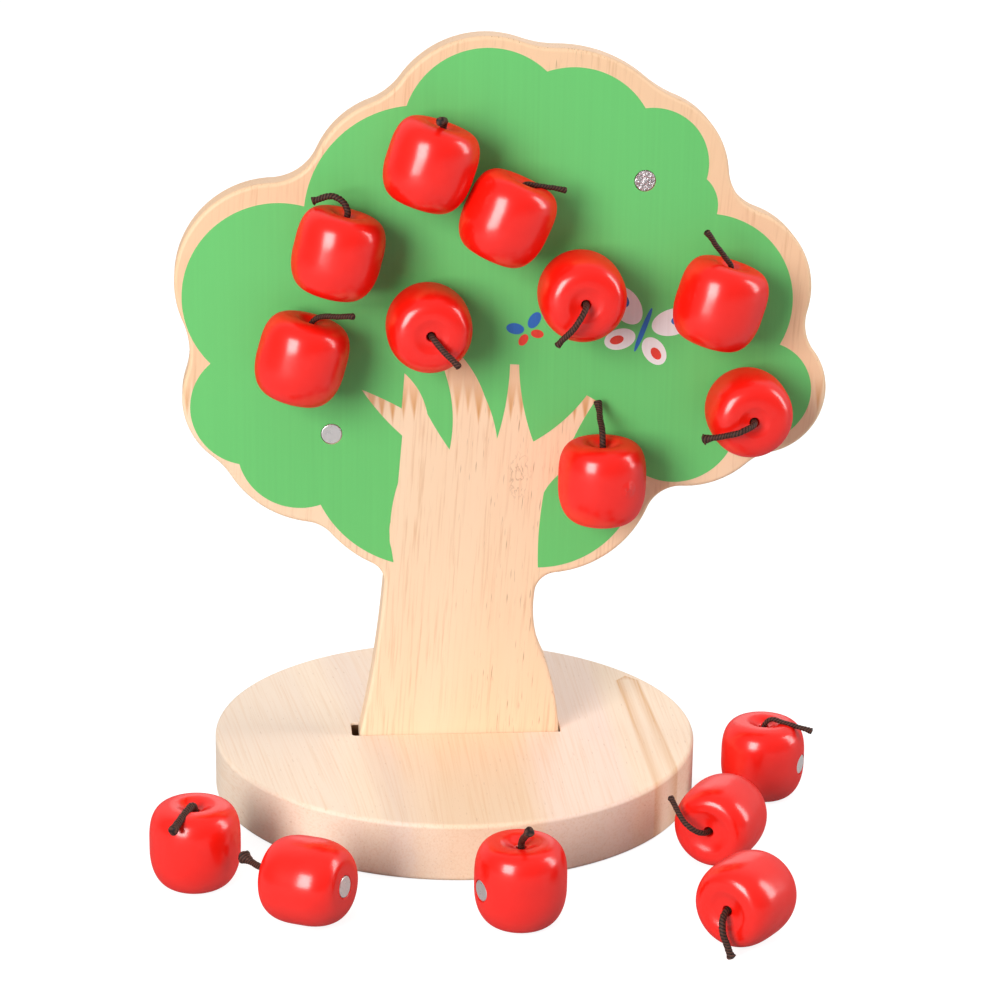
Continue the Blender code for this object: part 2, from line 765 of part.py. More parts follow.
def magnet_sink():
    """How deep a flat disc sits in the apple's round side for its two edges to be flush."""
    radius = APPLE_DIAMETER / 2.0
    return radius - math.sqrt(radius ** 2 - (MAGNET_DIAMETER / 2.0) ** 2)


def magnet_middle(seat):
    """Centre of the apple's magnet in the apple's own frame, and the disc's turn there."""
    if seat == "side":
        reach = APPLE_DIAMETER / 2.0 - magnet_sink() - MAGNET_THICKNESS / 2.0
        return Matrix.Translation((0.0, reach, 0.0)) @ Matrix.Rotation(math.pi / 2.0, 4, "X")
    return Matrix.Translation((0.0, 0.0, MAGNET_THICKNESS / 2.0 - APPLE_HEIGHT / 2.0))


def build_apple(number, place, seat, stem, parts, cutters):
    """One apple: its turned body with the magnet's pocket, its cord stem and its magnet disc."""
    name = f"apple_{number:02d}"
    mesh = profile_mesh(name + "_body", apple_profile(seat))
    body = add_object(name + "_body", mesh, parts, finish("apple", name + "_paint"), place)
    turn_profile(body, APPLE_SEGMENTS)
    disc_place = place @ magnet_middle(seat)
    if seat == "side":
        depth = MAGNET_THICKNESS + MAGNET_FLOOR_FIT + magnet_sink() + OVERRUN
        pocket = cylinder_mesh(name + "_pocket", MAGNET_DIAMETER / 2.0 + MAGNET_SIDE_FIT, depth,
                               MAGNET_SEGMENTS)
        shift = (depth - MAGNET_THICKNESS) / 2.0 - MAGNET_FLOOR_FIT
        cutter = as_cutter(add_object(name + "_pocket", pocket, cutters, None,
                                      disc_place @ Matrix.Translation((0.0, 0.0, -shift))))
        boolean(body, cutter, "DIFFERENCE")
    build_stem(name + "_stem", stem, parts, place)
    mesh = cylinder_mesh(name + "_magnet", MAGNET_DIAMETER / 2.0, MAGNET_THICKNESS,
                         MAGNET_SEGMENTS)
    smooth(mesh)
    add_object(name + "_magnet", mesh, parts, finish("magnet", name + "_nickel"), disc_place)
    return body


def apple_spot(apples, index, tall):
    """Where an apple of a list is: world x and z on the tree, or x and y on the table.

    Tall is an apple's size along the second of these.
    """
    place = apples[index].place
    if isinstance(place, OnCrown):
        return crown_point(place.across_share, place.up_share)
    aim = math.radians(place.bearing)
    if isinstance(place, BesideApple):
        meeting = math.hypot(APPLE_DIAMETER * math.cos(aim), tall * math.sin(aim))
        neighbour = apple_spot(apples, place.index, tall)
        return polar(neighbour, meeting * (1.0 + place.gap_share), aim)
    gap = place.gap_share * APPLE_DIAMETER
    return polar(Vector((0.0, 0.0)), (BASE_DIAMETER + APPLE_DIAMETER) / 2.0 + gap, aim)


def build_tree_apples(parts, cutters):
    for index, apple in enumerate(TREE_APPLES):
        place = apple_spot(TREE_APPLES, index, APPLE_HEIGHT)
        out = print_face() - APPLE_GAP - seat_depth(apple.seat)
        tip = math.pi / 2.0 if apple.seat == "bottom" else 0.0
        spot = (Matrix.Translation((place.x, out, place.y))
                @ Matrix.Rotation(math.radians(apple.lean), 4, "Y")
                @ Matrix.Rotation(tip, 4, "X"))
        build_apple(index + 1, spot, apple.seat, apple.stem, parts, cutters)


def build_loose_apples(parts, cutters):
    for index, apple in enumerate(LOOSE_APPLES):
        spot = apple_spot(LOOSE_APPLES, index, APPLE_DIAMETER)
        lying = apple.pose == "lying"
        height = APPLE_DIAMETER / 2.0 if lying else APPLE_HEIGHT / 2.0
        tip = math.pi / 2.0 if lying else 0.0
        place = (Matrix.Translation((spot.x, spot.y, height))
                 @ Matrix.Rotation(math.radians(apple.heading), 4, "Z")
                 @ Matrix.Rotation(tip, 4, "X"))
        number = len(TREE_APPLES) + index + 1
        build_apple(number, place, apple.seat, apple.stem, parts, cutters)


def main():
    clear_scene()
    parts = make_collection("magnetic_apple_tree")
    cutters = make_collection("cutters")
    build_base(parts, cutters)
    tree = build_tree(parts, cutters)
    build_tree_magnets(parts, tree)
    build_tree_apples(parts, cutters)
    build_loose_apples(parts, cutters)
    bpy.context.view_layer.update()


main()
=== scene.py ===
"""Looks of the magnetic apple tree toy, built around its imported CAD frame.

A flat wooden tree with a printed crown stands in a round wooden base. Red turned apples with cord
stems hang on it by small magnet discs, and six more stand or lie on the table. Lengths are metres.
"""

import logging
import math
from collections.abc import Iterable, Sequence
from dataclasses import dataclass, field
from enum import Enum
from typing import Any

import bpy
from bpy.types import Material, Mesh, Node, NodeSocket, NodeTree, Object
from mathutils import Matrix, Vector, noise
from mathutils.geometry import tessellate_polygon


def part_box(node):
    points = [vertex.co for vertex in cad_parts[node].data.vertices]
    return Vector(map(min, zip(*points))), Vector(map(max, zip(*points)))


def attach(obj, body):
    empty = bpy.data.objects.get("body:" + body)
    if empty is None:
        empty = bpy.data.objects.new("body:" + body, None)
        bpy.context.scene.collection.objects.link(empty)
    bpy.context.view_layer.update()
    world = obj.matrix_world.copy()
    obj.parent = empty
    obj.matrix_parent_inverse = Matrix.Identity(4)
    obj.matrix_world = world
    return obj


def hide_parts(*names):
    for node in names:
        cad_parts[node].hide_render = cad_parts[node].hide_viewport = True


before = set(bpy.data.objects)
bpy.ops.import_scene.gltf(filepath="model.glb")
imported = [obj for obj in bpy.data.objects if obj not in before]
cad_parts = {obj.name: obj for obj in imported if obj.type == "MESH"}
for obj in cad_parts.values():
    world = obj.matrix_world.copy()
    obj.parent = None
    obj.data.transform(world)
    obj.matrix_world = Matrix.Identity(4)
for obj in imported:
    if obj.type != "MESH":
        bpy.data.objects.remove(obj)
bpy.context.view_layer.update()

Colour = tuple[float, float, float, float]
Pair = tuple[float, float]
Triple = tuple[float, float, float]
Oval = tuple[float, float, float, float, float]

LOG = logging.getLogger("apple_tree")
MM = 0.001
CRINKLE = (8.1 * MM, -13.7 * MM, 1.2 * MM)  # from the middle of apple 9 to its crinkled spot
WHITE = "#FFFFFF"
MITRE_LIMIT = 1.6  # longest mitre at a corner, as a share of the inset
SLIVER = (0.0001 * MM) ** 2  # a triangle of less than half this area is left out
WANDER_SEED = 9  # keeps the wander of the cords the same from run to run


# Nodes and colours
def linear(colour: str) -> Colour:
    """Turn an sRGB hex colour into the linear one that a shader takes.

    Args:
        colour: "#RRGGBB".

    Returns:
        Red, green, blue and an alpha of one.
    """
    parts = []
    for start in (1, 3, 5):
        value = int(colour[start:start + 2], 16) / 255.0
        parts.append(value / 12.92 if value <= 0.04045 else ((value + 0.055) / 1.055) ** 2.4)
    return parts[0], parts[1], parts[2], 1.0


def per(size: Triple) -> Triple:
    """How often each side of a pattern's cell, in metres, goes into a metre."""
    return 1.0 / size[0], 1.0 / size[1], 1.0 / size[2]


def add_node(tree: NodeTree, kind: str, settings: dict[str | int, Any] | None = None,
             links: dict[str | int, NodeSocket] | None = None) -> Node:
    """Add a node with its settings and links.

    Args:
        tree: The node tree that gets it.
        kind: The node's type.
        settings: Values by the name of a property or of an input, or by an input's number.
        links: Sockets that feed its inputs, by name or number.

    Returns:
        The new node.
    """
    node = tree.nodes.new(kind)
    for key, value in (settings or {}).items():
        if isinstance(key, str) and hasattr(node, key):
            setattr(node, key, value)
        else:
            node.inputs[key].default_value = value
    for key, socket in (links or {}).items():
        tree.links.new(socket, node.inputs[key])
    return node


def start_material(name: str) -> tuple[Material, NodeTree, Node]:
    """Make an empty material with its shader.

    Args:
        name: The material's name.

    Returns:
        The material, its node tree and its shader node.
    """
    material = bpy.data.materials.new(name)
    material.use_nodes = True
    tree = material.node_tree
    return material, tree, tree.nodes["Principled BSDF"]


def lay_noise(tree: NodeTree, place: NodeSocket,
              *patterns: tuple[Triple, float]) -> list[NodeSocket]:
    """Lay noise patterns over a place.

    Args:
        tree: The material's node tree.
        place: The place.
        *patterns: The size of each pattern's cells across, along and up, and its detail.

    Returns:
        The strength of each.
    """
    found = []
    for size, detail in patterns:
        scaled = add_node(tree, "ShaderNodeMapping", {"Scale": per(size)}, {"Vector": place})
        found.append(add_node(tree, "ShaderNodeTexNoise", {"Scale": 1.0, "Detail": detail},
                              {"Vector": scaled.outputs[0]}).outputs[0])
    return found


def dress(tree: NodeTree, shader: Node, tint: NodeSocket, roughness: float, height: NodeSocket,
          bump: float, relief: float) -> None:
    """Give a shader its colour, its roughness and a fine relief.

    Args:
        tree: The material's node tree.
        shader: Its shader.
        tint: The colour.
        roughness: The roughness.
        height: How high the surface stands.
        bump: How strongly the relief shows.
        relief: The depth of the relief.
    """
    tree.links.new(tint, shader.inputs["Base Color"])
    shader.inputs["Roughness"].default_value = roughness
    raised = add_node(tree, "ShaderNodeBump", {"Strength": bump, "Distance": relief},
                      {"Height": height})
    tree.links.new(raised.outputs[0], shader.inputs["Normal"])


# Flat outlines
def polar(centre: Vector, radius: float, angle: float) -> Vector:
    """The point at a distance and an angle from a centre."""
    return Vector((centre.x + radius * math.cos(angle), centre.y + radius * math.sin(angle)))


def quarter_turn(steps: int) -> list[float]:
    """Evenly spread angles from none to a right angle, both included."""
    return [math.pi / 2.0 * i / steps for i in range(steps + 1)]


def arc(centre: Vector, radius: float, start: float, end: float,
        sag: float = 0.012 * MM) -> list[Vector]:
    """Points on an arc, close enough together to keep its sag below a limit.

    Args:
        centre: Middle of the arc.
        radius: Its radius.
        start: First angle in radians.
        end: Last angle in radians.
        sag: How far a straight piece may leave the arc.

    Returns:
        The points, both ends included.
    """
    step = 2.0 * math.acos(1.0 - sag / radius)
    count = max(2, math.ceil(abs(end - start) / step))
    return [polar(centre, radius, start + (end - start) * i / count) for i in range(count + 1)]


def circle(centre: Vector, radius: float, count: int) -> list[Vector]:
    """Evenly spread points on a circle, counter-clockwise."""
    return [polar(centre, radius, 2.0 * math.pi * i / count) for i in range(count)]


def ellipse(centre: Vector, half_long: float, half_short: float, turn: float,
            count: int = 64) -> list[Vector]:
    """Points on a turned ellipse, counter-clockwise.

    Args:
        centre: Its middle.
        half_long: Its half length before the turn, across.
        half_short: Its half width before the turn, up.
        turn: The turn in radians.
        count: How many points it gets.

    Returns:
        The points.
    """
    spin = Matrix.Rotation(turn, 2)
    angles = (2.0 * math.pi * i / count for i in range(count))
    return [centre + spin @ Vector((half_long * math.cos(a), half_short * math.sin(a)))
            for a in angles]


def bearing(origin: Vector, point: Vector) -> float:
    """The angle at which a point lies from an origin."""
    return math.atan2(point.y - origin.y, point.x - origin.x)


def clockwise(start: float, end: float) -> float:
    """Bring an end angle below a start angle, by less than one turn.

    Args:
        start: The angle to start from, in radians.
        end: The angle to end at, give or take whole turns.

    Returns:
        The end angle.
    """
    while end > start:
        end -= 2.0 * math.pi
    while start - end > 2.0 * math.pi:
        end += 2.0 * math.pi
    return end


def outer_crossing(centre_a: Vector, radius_a: float, centre_b: Vector,
                   radius_b: float) -> Vector:
    """Find where two circles cross, on the left of the way from the first to the second.

    Args:
        centre_a: Middle of the first circle.
        radius_a: Its radius.
        centre_b: Middle of the second circle.
        radius_b: Its radius.

    Returns:
        The crossing.
    """
    span = centre_b - centre_a
    length = span.length
    along = (radius_a ** 2 - radius_b ** 2 + length ** 2) / (2.0 * length)
    off = math.sqrt(radius_a ** 2 - along ** 2)
    unit = span / length
    return centre_a + unit * along + Vector((-unit.y, unit.x)) * off


def lobed_path(lobes: Sequence[tuple[Vector, float]], valleys: Sequence[float], first: Vector,
               last: Vector) -> list[Vector]:
    """Draw a clockwise path over round lobes.

    Args:
        lobes: Centre and radius of each lobe in order.
        valleys: Radius of the hollow after each lobe, or zero for a sharp corner.
        first: The point whose bearing starts the first lobe.
        last: The point whose bearing ends the last lobe.

    Returns:
        The path's points.
    """
    path: list[Vector] = []
    entry = bearing(lobes[0][0], first)
    for (centre, radius), (following, next_radius), hollow in zip(lobes, lobes[1:], valleys):
        pivot = outer_crossing(centre, radius + hollow, following, next_radius + hollow)
        path += arc(centre, radius, entry, clockwise(entry, bearing(centre, pivot)))
        entry = bearing(following, pivot)
        if hollow > 0.0:
            start = bearing(pivot, centre)
            end = -clockwise(-start, -bearing(pivot, following))
            path += arc(pivot, hollow, start, end)[1:-1]
    centre, radius = lobes[-1]
    return path + arc(centre, radius, entry, clockwise(entry, bearing(centre, last)))


def bowed(start: Vector, end: Vector, bow: float, count: int = 24) -> list[Vector]:
    """Points on a line that bends to its left.

    Args:
        start: The line's start, which isn't among the points.
        end: The line's end.
        bow: How far it bends at its middle.
        count: How many points it gets.

    Returns:
        The points after the start.
    """
    side = Vector((start.y - end.y, end.x - start.x)).normalized()
    shares = (i / count for i in range(1, count + 1))
    return [start.lerp(end, t) + side * bow * 4.0 * t * (1.0 - t) for t in shares]


def tidy_path(points: Iterable[Vector], spacing: float = 0.05 * MM) -> list[Vector]:
    """Drop the points of a closed outline that lie too close to the one before.

    Args:
        points: The outline.
        spacing: The least distance between neighbours.

    Returns:
        The points that are kept.
    """
    kept: list[Vector] = []
    for point in points:
        if not kept or (point - kept[-1]).length > spacing:
            kept.append(point)
    if (kept[0] - kept[-1]).length <= spacing:
        kept.pop()
    return kept


def counter_clockwise(points: list[Vector]) -> list[Vector]:
    """The same closed outline, turned round if it runs clockwise."""
    area = sum(a.x * b.y - b.x * a.y for a, b in zip(points, points[1:] + points[:1]))
    return points if area > 0.0 else points[::-1]


def side_normals(points: Sequence[Vector]) -> list[tuple[Vector, float]]:
    """Find which way an outline faces at each of its points.

    Args:
        points: A counter-clockwise outline.

    Returns:
        The outward direction at each point, and how far the mitre there stretches an inset.
    """
    found = []
    count = len(points)
    for i, point in enumerate(points):
        before = (point - points[i - 1]).normalized()
        after = (points[(i + 1) % count] - point).normalized()
        first, second = Vector((before.y, -before.x)), Vector((after.y, -after.x))
        outward = (first + second).normalized()
        found.append((outward, 1.0 / max(1.0 / MITRE_LIMIT, outward.dot(first))))
    return found


# Surfaces
@dataclass
class Skin:
    """Points, normals and faces of one piece while it is being made."""

    points: list[Vector] = field(default_factory=list)
    normals: list[Vector] = field(default_factory=list)
    faces: list[tuple[int, ...]] = field(default_factory=list)

    def ring(self, points: Iterable[Vector], normals: Iterable[Vector]) -> list[int]:
        """Add a row of points with their normals.

        Args:
            points: The row.
            normals: The way that the surface faces at each.

        Returns:
            Their numbers.
        """
        start = len(self.points)
        self.points += points
        self.normals += normals
        return list(range(start, len(self.points)))

    def bridge(self, lower: Sequence[int], upper: Sequence[int]) -> None:
        """Join two closed rings with faces.

        Args:
            lower: The lower ring, counter-clockwise seen from above.
            upper: The upper ring, which runs the same way.
        """
        for i in range(len(lower)):
            j = (i + 1) % len(lower)
            self.faces.append((lower[i], lower[j], upper[j], upper[i]))

    def fill(self, loops: Sequence[Sequence[Vector]], height: float, up: bool = True) -> None:
        """Fill an outline, less the holes in it, with flat triangles.

        Args:
            loops: The outline, then its holes, as flat points.
            height: Where it lies along the thickness.
            up: Whether it faces up.
        """
        normal = Vector((0.0, 0.0, 1.0 if up else -1.0))
        loose = [point for loop in loops for point in loop]
        start = len(self.points)
        self.points += [Vector((p.x, p.y, height)) for p in loose]
        self.normals += [normal] * len(loose)
        solid = [[Vector((p.x, p.y, 0.0)) for p in loop] for loop in loops]
        for a, b, c in tessellate_polygon(solid):
            turn = (loose[b] - loose[a]).cross(loose[c] - loose[a])
            if abs(turn) > SLIVER:
                order = (a, b, c) if (turn > 0.0) == up else (a, c, b)
                self.faces.append(tuple(start + i for i in order))

    def wall(self, outline: Sequence[Vector], rows: Iterable[Triple], ease: float,
             inward: bool = False) -> list[list[Vector]]:
        """Build a wall round an outline, row by row.

        Args:
            outline: Counter-clockwise points.
            rows: How far each row leaves the outline, as a share of the ease, its height, and
                how much it faces up.
            ease: Radius of the rounded rims.
            inward: Whether the wall faces inwards, as a pocket's does.

        Returns:
            The outline of each row.
        """
        normals = side_normals(outline)
        way = -1.0 if inward else 1.0
        before: list[int] = []
        rims = []
        for shift, height, lift in rows:
            flat = [p - n * (way * m * shift * ease) for p, (n, m) in zip(outline, normals)]
            level = way * math.sqrt(1.0 - lift * lift)
            ring = self.ring([Vector((p.x, p.y, height)) for p in flat],
                             [Vector((n.x * level, n.y * level, lift)) for n, _ in normals])
            if before:
                self.bridge(*((ring, before) if inward else (before, ring)))
            before = ring
            rims.append(flat)
        return rims

    def edge(self, outline: Sequence[Vector], low: float, high: float, ease: float = 0.0,
             steps: int = 0) -> tuple[list[Vector], list[Vector]]:
        """Build the wall round an outline with its two rims rounded.

        Args:
            outline: Counter-clockwise points.
            low: Lower end of the wall.
            high: Upper end of the wall.
            ease: Radius of the rounded rims.
            steps: Pieces in each rounded rim, or none for sharp rims.

        Returns:
            The outlines of the lower and the upper rim.
        """
        if steps:
            rows = [(1.0 - math.sin(a), low + ease * (1.0 - math.cos(a)), -math.cos(a))
                    for a in quarter_turn(steps)]
            rows += [(1.0 - math.cos(a), high - ease * (1.0 - math.sin(a)), math.sin(a))
                     for a in quarter_turn(steps)]
        else:
            rows = [(0.0, low, 0.0), (0.0, high, 0.0)]
        rims = self.wall(outline, rows, ease)
        return rims[0], rims[-1]

    def pocket(self, outline: Sequence[Vector], floor: float, rim: float, ease: float,
               steps: int = 3) -> list[Vector]:
        """Sink a pocket with an eased mouth.

        Args:
            outline: Counter-clockwise points of its wall.
            floor: Height of its floor.
            rim: Height of the face that it is sunk into.
            ease: Radius of the mouth's rim.
            steps: Pieces in that rim.

        Returns:
            The mouth's outline in the face.
        """
        rows = [(0.0, floor, 0.0)]
        rows += [(1.0 - math.cos(a), rim - ease * (1.0 - math.sin(a)), math.sin(a))
                 for a in quarter_turn(steps)]
        mouth = self.wall(outline, rows, ease, inward=True)[-1]
        self.fill([outline], floor)
        return mouth

    def to_object(self, name: str, material: Material, place: Matrix = Matrix()) -> Object:
        """Turn the skin into a shown piece that keeps the normals it was built with.

        Args:
            name: The piece's name.
            material: Its finish.
            place: Where it stands and how it is turned.

        Returns:
            The piece.
        """
        mesh = bpy.data.meshes.new(name)
        mesh.from_pydata([place @ point for point in self.points], [], self.faces)
        mesh.shade_smooth()
        turn = place.to_3x3()
        mesh.normals_split_custom_set_from_vertices([turn @ n for n in self.normals])
        return show(name, mesh, material)


def show(name: str, mesh: Mesh, material: Material) -> Object:
    """Put a mesh into the scene.

    Args:
        name: The name that the piece and its mesh get.
        mesh: The mesh.
        material: Its finish.

    Returns:
        The piece.
    """
    mesh.name = name
    mesh.materials.clear()
    mesh.materials.append(material)
    item = bpy.data.objects.new(name, mesh)
    bpy.context.scene.collection.objects.link(item)
    return item


def mount(item: Object, body: str, slot: str, *nodes: str) -> None:
    """Let a piece ride on a body and stand for its CAD nodes, which it hides.

    Args:
        item: The piece.
        body: The body that it rides on.
        slot: The slot of its finish; not used.
        *nodes: The CAD nodes that it replaces.
    """
    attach(item, body)
    if nodes:
        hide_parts(*nodes)
    LOG.info("%s rides on %s", item.name, body)


def middle(node: str) -> Vector:
    """The middle of a CAD node's box."""
    low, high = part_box(node)
    return (low + high) / 2.0


# Finishes
@dataclass(frozen=True)
class SlabWood:
    """Rubberwood slab, turned, fine-sanded and varnished matt, its grain running front to back.

    The varnish gives a soft broad sheen. The eye sees pale pinkish and apricot zones, fine
    streaks along the grain, short tan pores and a tan figure with two legs near the right rim.
    The pores are drawn a few times wider than they are, so that they show.
    """

    name: str = "rubberwood_slab_matt_varnish"
    left_zone: str = "#FAE3CC"
    zones: tuple[tuple[float, str], ...] = (
        (-50.0 * MM, "#FDE6CD"), (-37.0 * MM, "#F5DDC9"), (-24.0 * MM, "#F9DEC3"),
        (-11.0 * MM, "#F6D8B9"), (25.0 * MM, "#FBE0CD"), (59.0 * MM, "#FDE3C7"))
    zone_blur: float = 3.5 * MM
    tan: str = "#DFA869"
    pore: str = "#C09673"
    roughness: float = 0.50
    left_slant: float = 0.14
    left_span: Pair = (-45.0 * MM, -10.0 * MM)
    streak: Triple = (0.8 * MM, 50.0 * MM, 0.8 * MM)
    streak_levels: Pair = (0.46, 0.74)
    streak_depth: float = 0.27
    band: Triple = (7.692 * MM, 200.0 * MM, 7.692 * MM)
    band_wave: float = 10.0 * MM
    dash: Triple = (0.7692 * MM, 4.348 * MM, 0.7692 * MM)
    dash_levels: Pair = (0.68, 0.78)
    dash_depth: float = 0.32
    grain_bump: float = 0.10
    grain_relief: float = 0.05 * MM
    figure_across: float = 72.2 * MM
    figure_back: float = 49.0 * MM
    figure_half: float = 4.4 * MM
    figure_line: float = 4.2 * MM
    figure_rim: float = 1.0 * MM
    figure_point: float = 5.0 * MM
    figure_widening: float = -0.010
    figure_lean: float = -0.022
    figure_fade: Pair = (100.0 * MM, 4.0 * MM)
    figure_faint: float = 0.70
    figure_levels: Pair = (0.35, 0.60)
    figure_broken: float = 0.55
    # Painted shade: the inside of the slot is coloured dark brown, for the shade in it
    slot_shade_colour: str = "#6B4A2C"
    slot_shade_half: Pair = (60.0 * MM, 30.0 * MM)
    slot_shade_span: Pair = (1.0 * MM, 20.6 * MM)

    def figure(self, tree: NodeTree, across: NodeSocket,
               along: NodeSocket) -> NodeSocket:
        """How strongly the figure of tan latewood shows at a place on the slab.

        Args:
            tree: The material's node tree.
            across: The place across the grain.
            along: The place along the grain.

        Returns:
            From none to one.
        """
        half = add_node(tree, "ShaderNodeMapRange",
                        {1: self.figure_back, 2: self.figure_back - self.figure_point,
                         3: 0.0, 4: self.figure_half}, {0: along}).outputs[0]
        half = add_node(tree, "ShaderNodeMath", {"operation": "MULTIPLY_ADD",
                                                 1: self.figure_widening},
                        {0: along, 2: half}).outputs[0]
        centre = add_node(tree, "ShaderNodeMath", {"operation": "MULTIPLY_ADD",
                                                   1: self.figure_lean,
                                                   2: self.figure_across},
                          {0: along}).outputs[0]
        off = add_node(tree, "ShaderNodeMath", {"operation": "SUBTRACT"},
                       {0: across, 1: centre}).outputs[0]
        off = add_node(tree, "ShaderNodeMath", {"operation": "ABSOLUTE"}, {0: off}).outputs[0]
        off = add_node(tree, "ShaderNodeMath", {"operation": "SUBTRACT"},
                       {0: off, 1: half}).outputs[0]
        inner = add_node(tree, "ShaderNodeMapRange", {1: -self.figure_line, 2: 0.0},
                         {0: off}).outputs[0]
        outer = add_node(tree, "ShaderNodeMapRange", {1: self.figure_rim, 2: 0.0, 3: 0.0,
                                                      4: 1.0}, {0: off}).outputs[0]
        reach = add_node(tree, "ShaderNodeMapRange",
                         {1: self.figure_back - self.figure_fade[0],
                          2: self.figure_back - self.figure_fade[1],
                          3: self.figure_faint, 4: 1.0}, {0: along}).outputs[0]
        inside = add_node(tree, "ShaderNodeMath", {"operation": "LESS_THAN",
                                                   1: self.figure_back}, {0: along}).outputs[0]
        line = inner
        for share in (outer, reach, inside):
            line = add_node(tree, "ShaderNodeMath", {"operation": "MULTIPLY"},
                            {0: line, 1: share}).outputs[0]
        return line

    def slot_shade(self, tree: NodeTree, axes: Sequence[NodeSocket],
               tint: NodeSocket) -> NodeSocket:
        """Paint shade inside the slot: its walls and floor are coloured dark brown for the shade
        that falls there.

        Args:
            tree: The material's node tree.
            axes: The place across, along and up.
            tint: The wood's colour.

        Returns:
            The colour with the painted shade in the slot.
        """
        low, high = self.slot_shade_span
        share = None
        for axis, centre, half in ((axes[0], 0.0, self.slot_shade_half[0]),
                                   (axes[2], (low + high) / 2.0, (high - low) / 2.0),
                                   (axes[1], 0.0, self.slot_shade_half[1])):
            inside = add_node(tree, "ShaderNodeMath", {"operation": "COMPARE", 1: centre,
                                                       2: half}, {0: axis}).outputs[0]
            share = inside if share is None else add_node(
                tree, "ShaderNodeMath", {"operation": "MULTIPLY"},
                {0: share, 1: inside}).outputs[0]
        return add_node(tree, "ShaderNodeMix", {"data_type": "RGBA",
                                                7: linear(self.slot_shade_colour)},
                        {0: share, 6: tint}).outputs[2]

    def make(self) -> Material:
        """Build the material.

        Returns:
            The material.
        """
        material, tree, shader = start_material(self.name)
        place = add_node(tree, "ShaderNodeTexCoord").outputs["Object"]
        axes = add_node(tree, "ShaderNodeSeparateXYZ", None, {0: place}).outputs
        slope = add_node(tree, "ShaderNodeMapRange",
                         {1: self.left_span[0], 2: self.left_span[1], 3: self.left_slant,
                          4: 0.0}, {0: axes[0]}).outputs[0]
        across = add_node(tree, "ShaderNodeMath", {"operation": "MULTIPLY_ADD"},
                          {0: axes[1], 1: slope, 2: axes[0]}).outputs[0]
        grain = add_node(tree, "ShaderNodeCombineXYZ", None,
                         {0: across, 1: axes[1], 2: axes[2]}).outputs[0]
        streak, band, dash = lay_noise(tree, grain, (self.streak, 4.0), (self.band, 2.0),
                                       (self.dash, 1.0))
        wavy = add_node(tree, "ShaderNodeMath", {"operation": "MULTIPLY_ADD", 1: self.band_wave,
                                                 2: -self.band_wave / 2.0},
                        {0: band}).outputs[0]
        wavy = add_node(tree, "ShaderNodeMath", {"operation": "ADD"},
                        {0: across, 1: wavy}).outputs[0]
        tint = None
        for edge, colour in self.zones:
            side = add_node(tree, "ShaderNodeMapRange",
                            {1: edge - self.zone_blur, 2: edge + self.zone_blur},
                            {0: wavy}).outputs[0]
            blend = add_node(tree, "ShaderNodeMix", {"data_type": "RGBA", 7: linear(colour)},
                             {0: side})
            if tint is None:
                blend.inputs[6].default_value = linear(self.left_zone)
            else:
                tree.links.new(tint, blend.inputs[6])
            tint = blend.outputs[2]
        lines = add_node(tree, "ShaderNodeMapRange",
                         {1: self.streak_levels[0], 2: self.streak_levels[1], 3: 0.0,
                          4: self.streak_depth}, {0: streak}).outputs[0]
        broken = add_node(tree, "ShaderNodeMapRange",
                          {1: self.figure_levels[0], 2: self.figure_levels[1],
                           3: self.figure_broken, 4: 1.0}, {0: streak}).outputs[0]
        figure = add_node(tree, "ShaderNodeMath", {"operation": "MULTIPLY"},
                          {0: broken, 1: self.figure(tree, across, axes[1])}).outputs[0]
        lines = add_node(tree, "ShaderNodeMath", {"operation": "MAXIMUM"},
                         {0: lines, 1: figure}).outputs[0]
        pits = add_node(tree, "ShaderNodeMapRange",
                        {1: self.dash_levels[0], 2: self.dash_levels[1], 3: 0.0,
                         4: self.dash_depth}, {0: dash}).outputs[0]
        for share, colour in ((lines, self.tan), (pits, self.pore)):
            tint = add_node(tree, "ShaderNodeMix", {"data_type": "RGBA", 7: linear(colour)},
                            {0: share, 6: tint}).outputs[2]
        grooves = add_node(tree, "ShaderNodeMath", {"operation": "SUBTRACT"},
                           {0: streak, 1: pits}).outputs[0]
        # The slot's inside gets its painted shade here
        dress(tree, shader, self.slot_shade(tree, axes, tint), self.roughness, grooves,
              self.grain_bump, self.grain_relief)
        return material


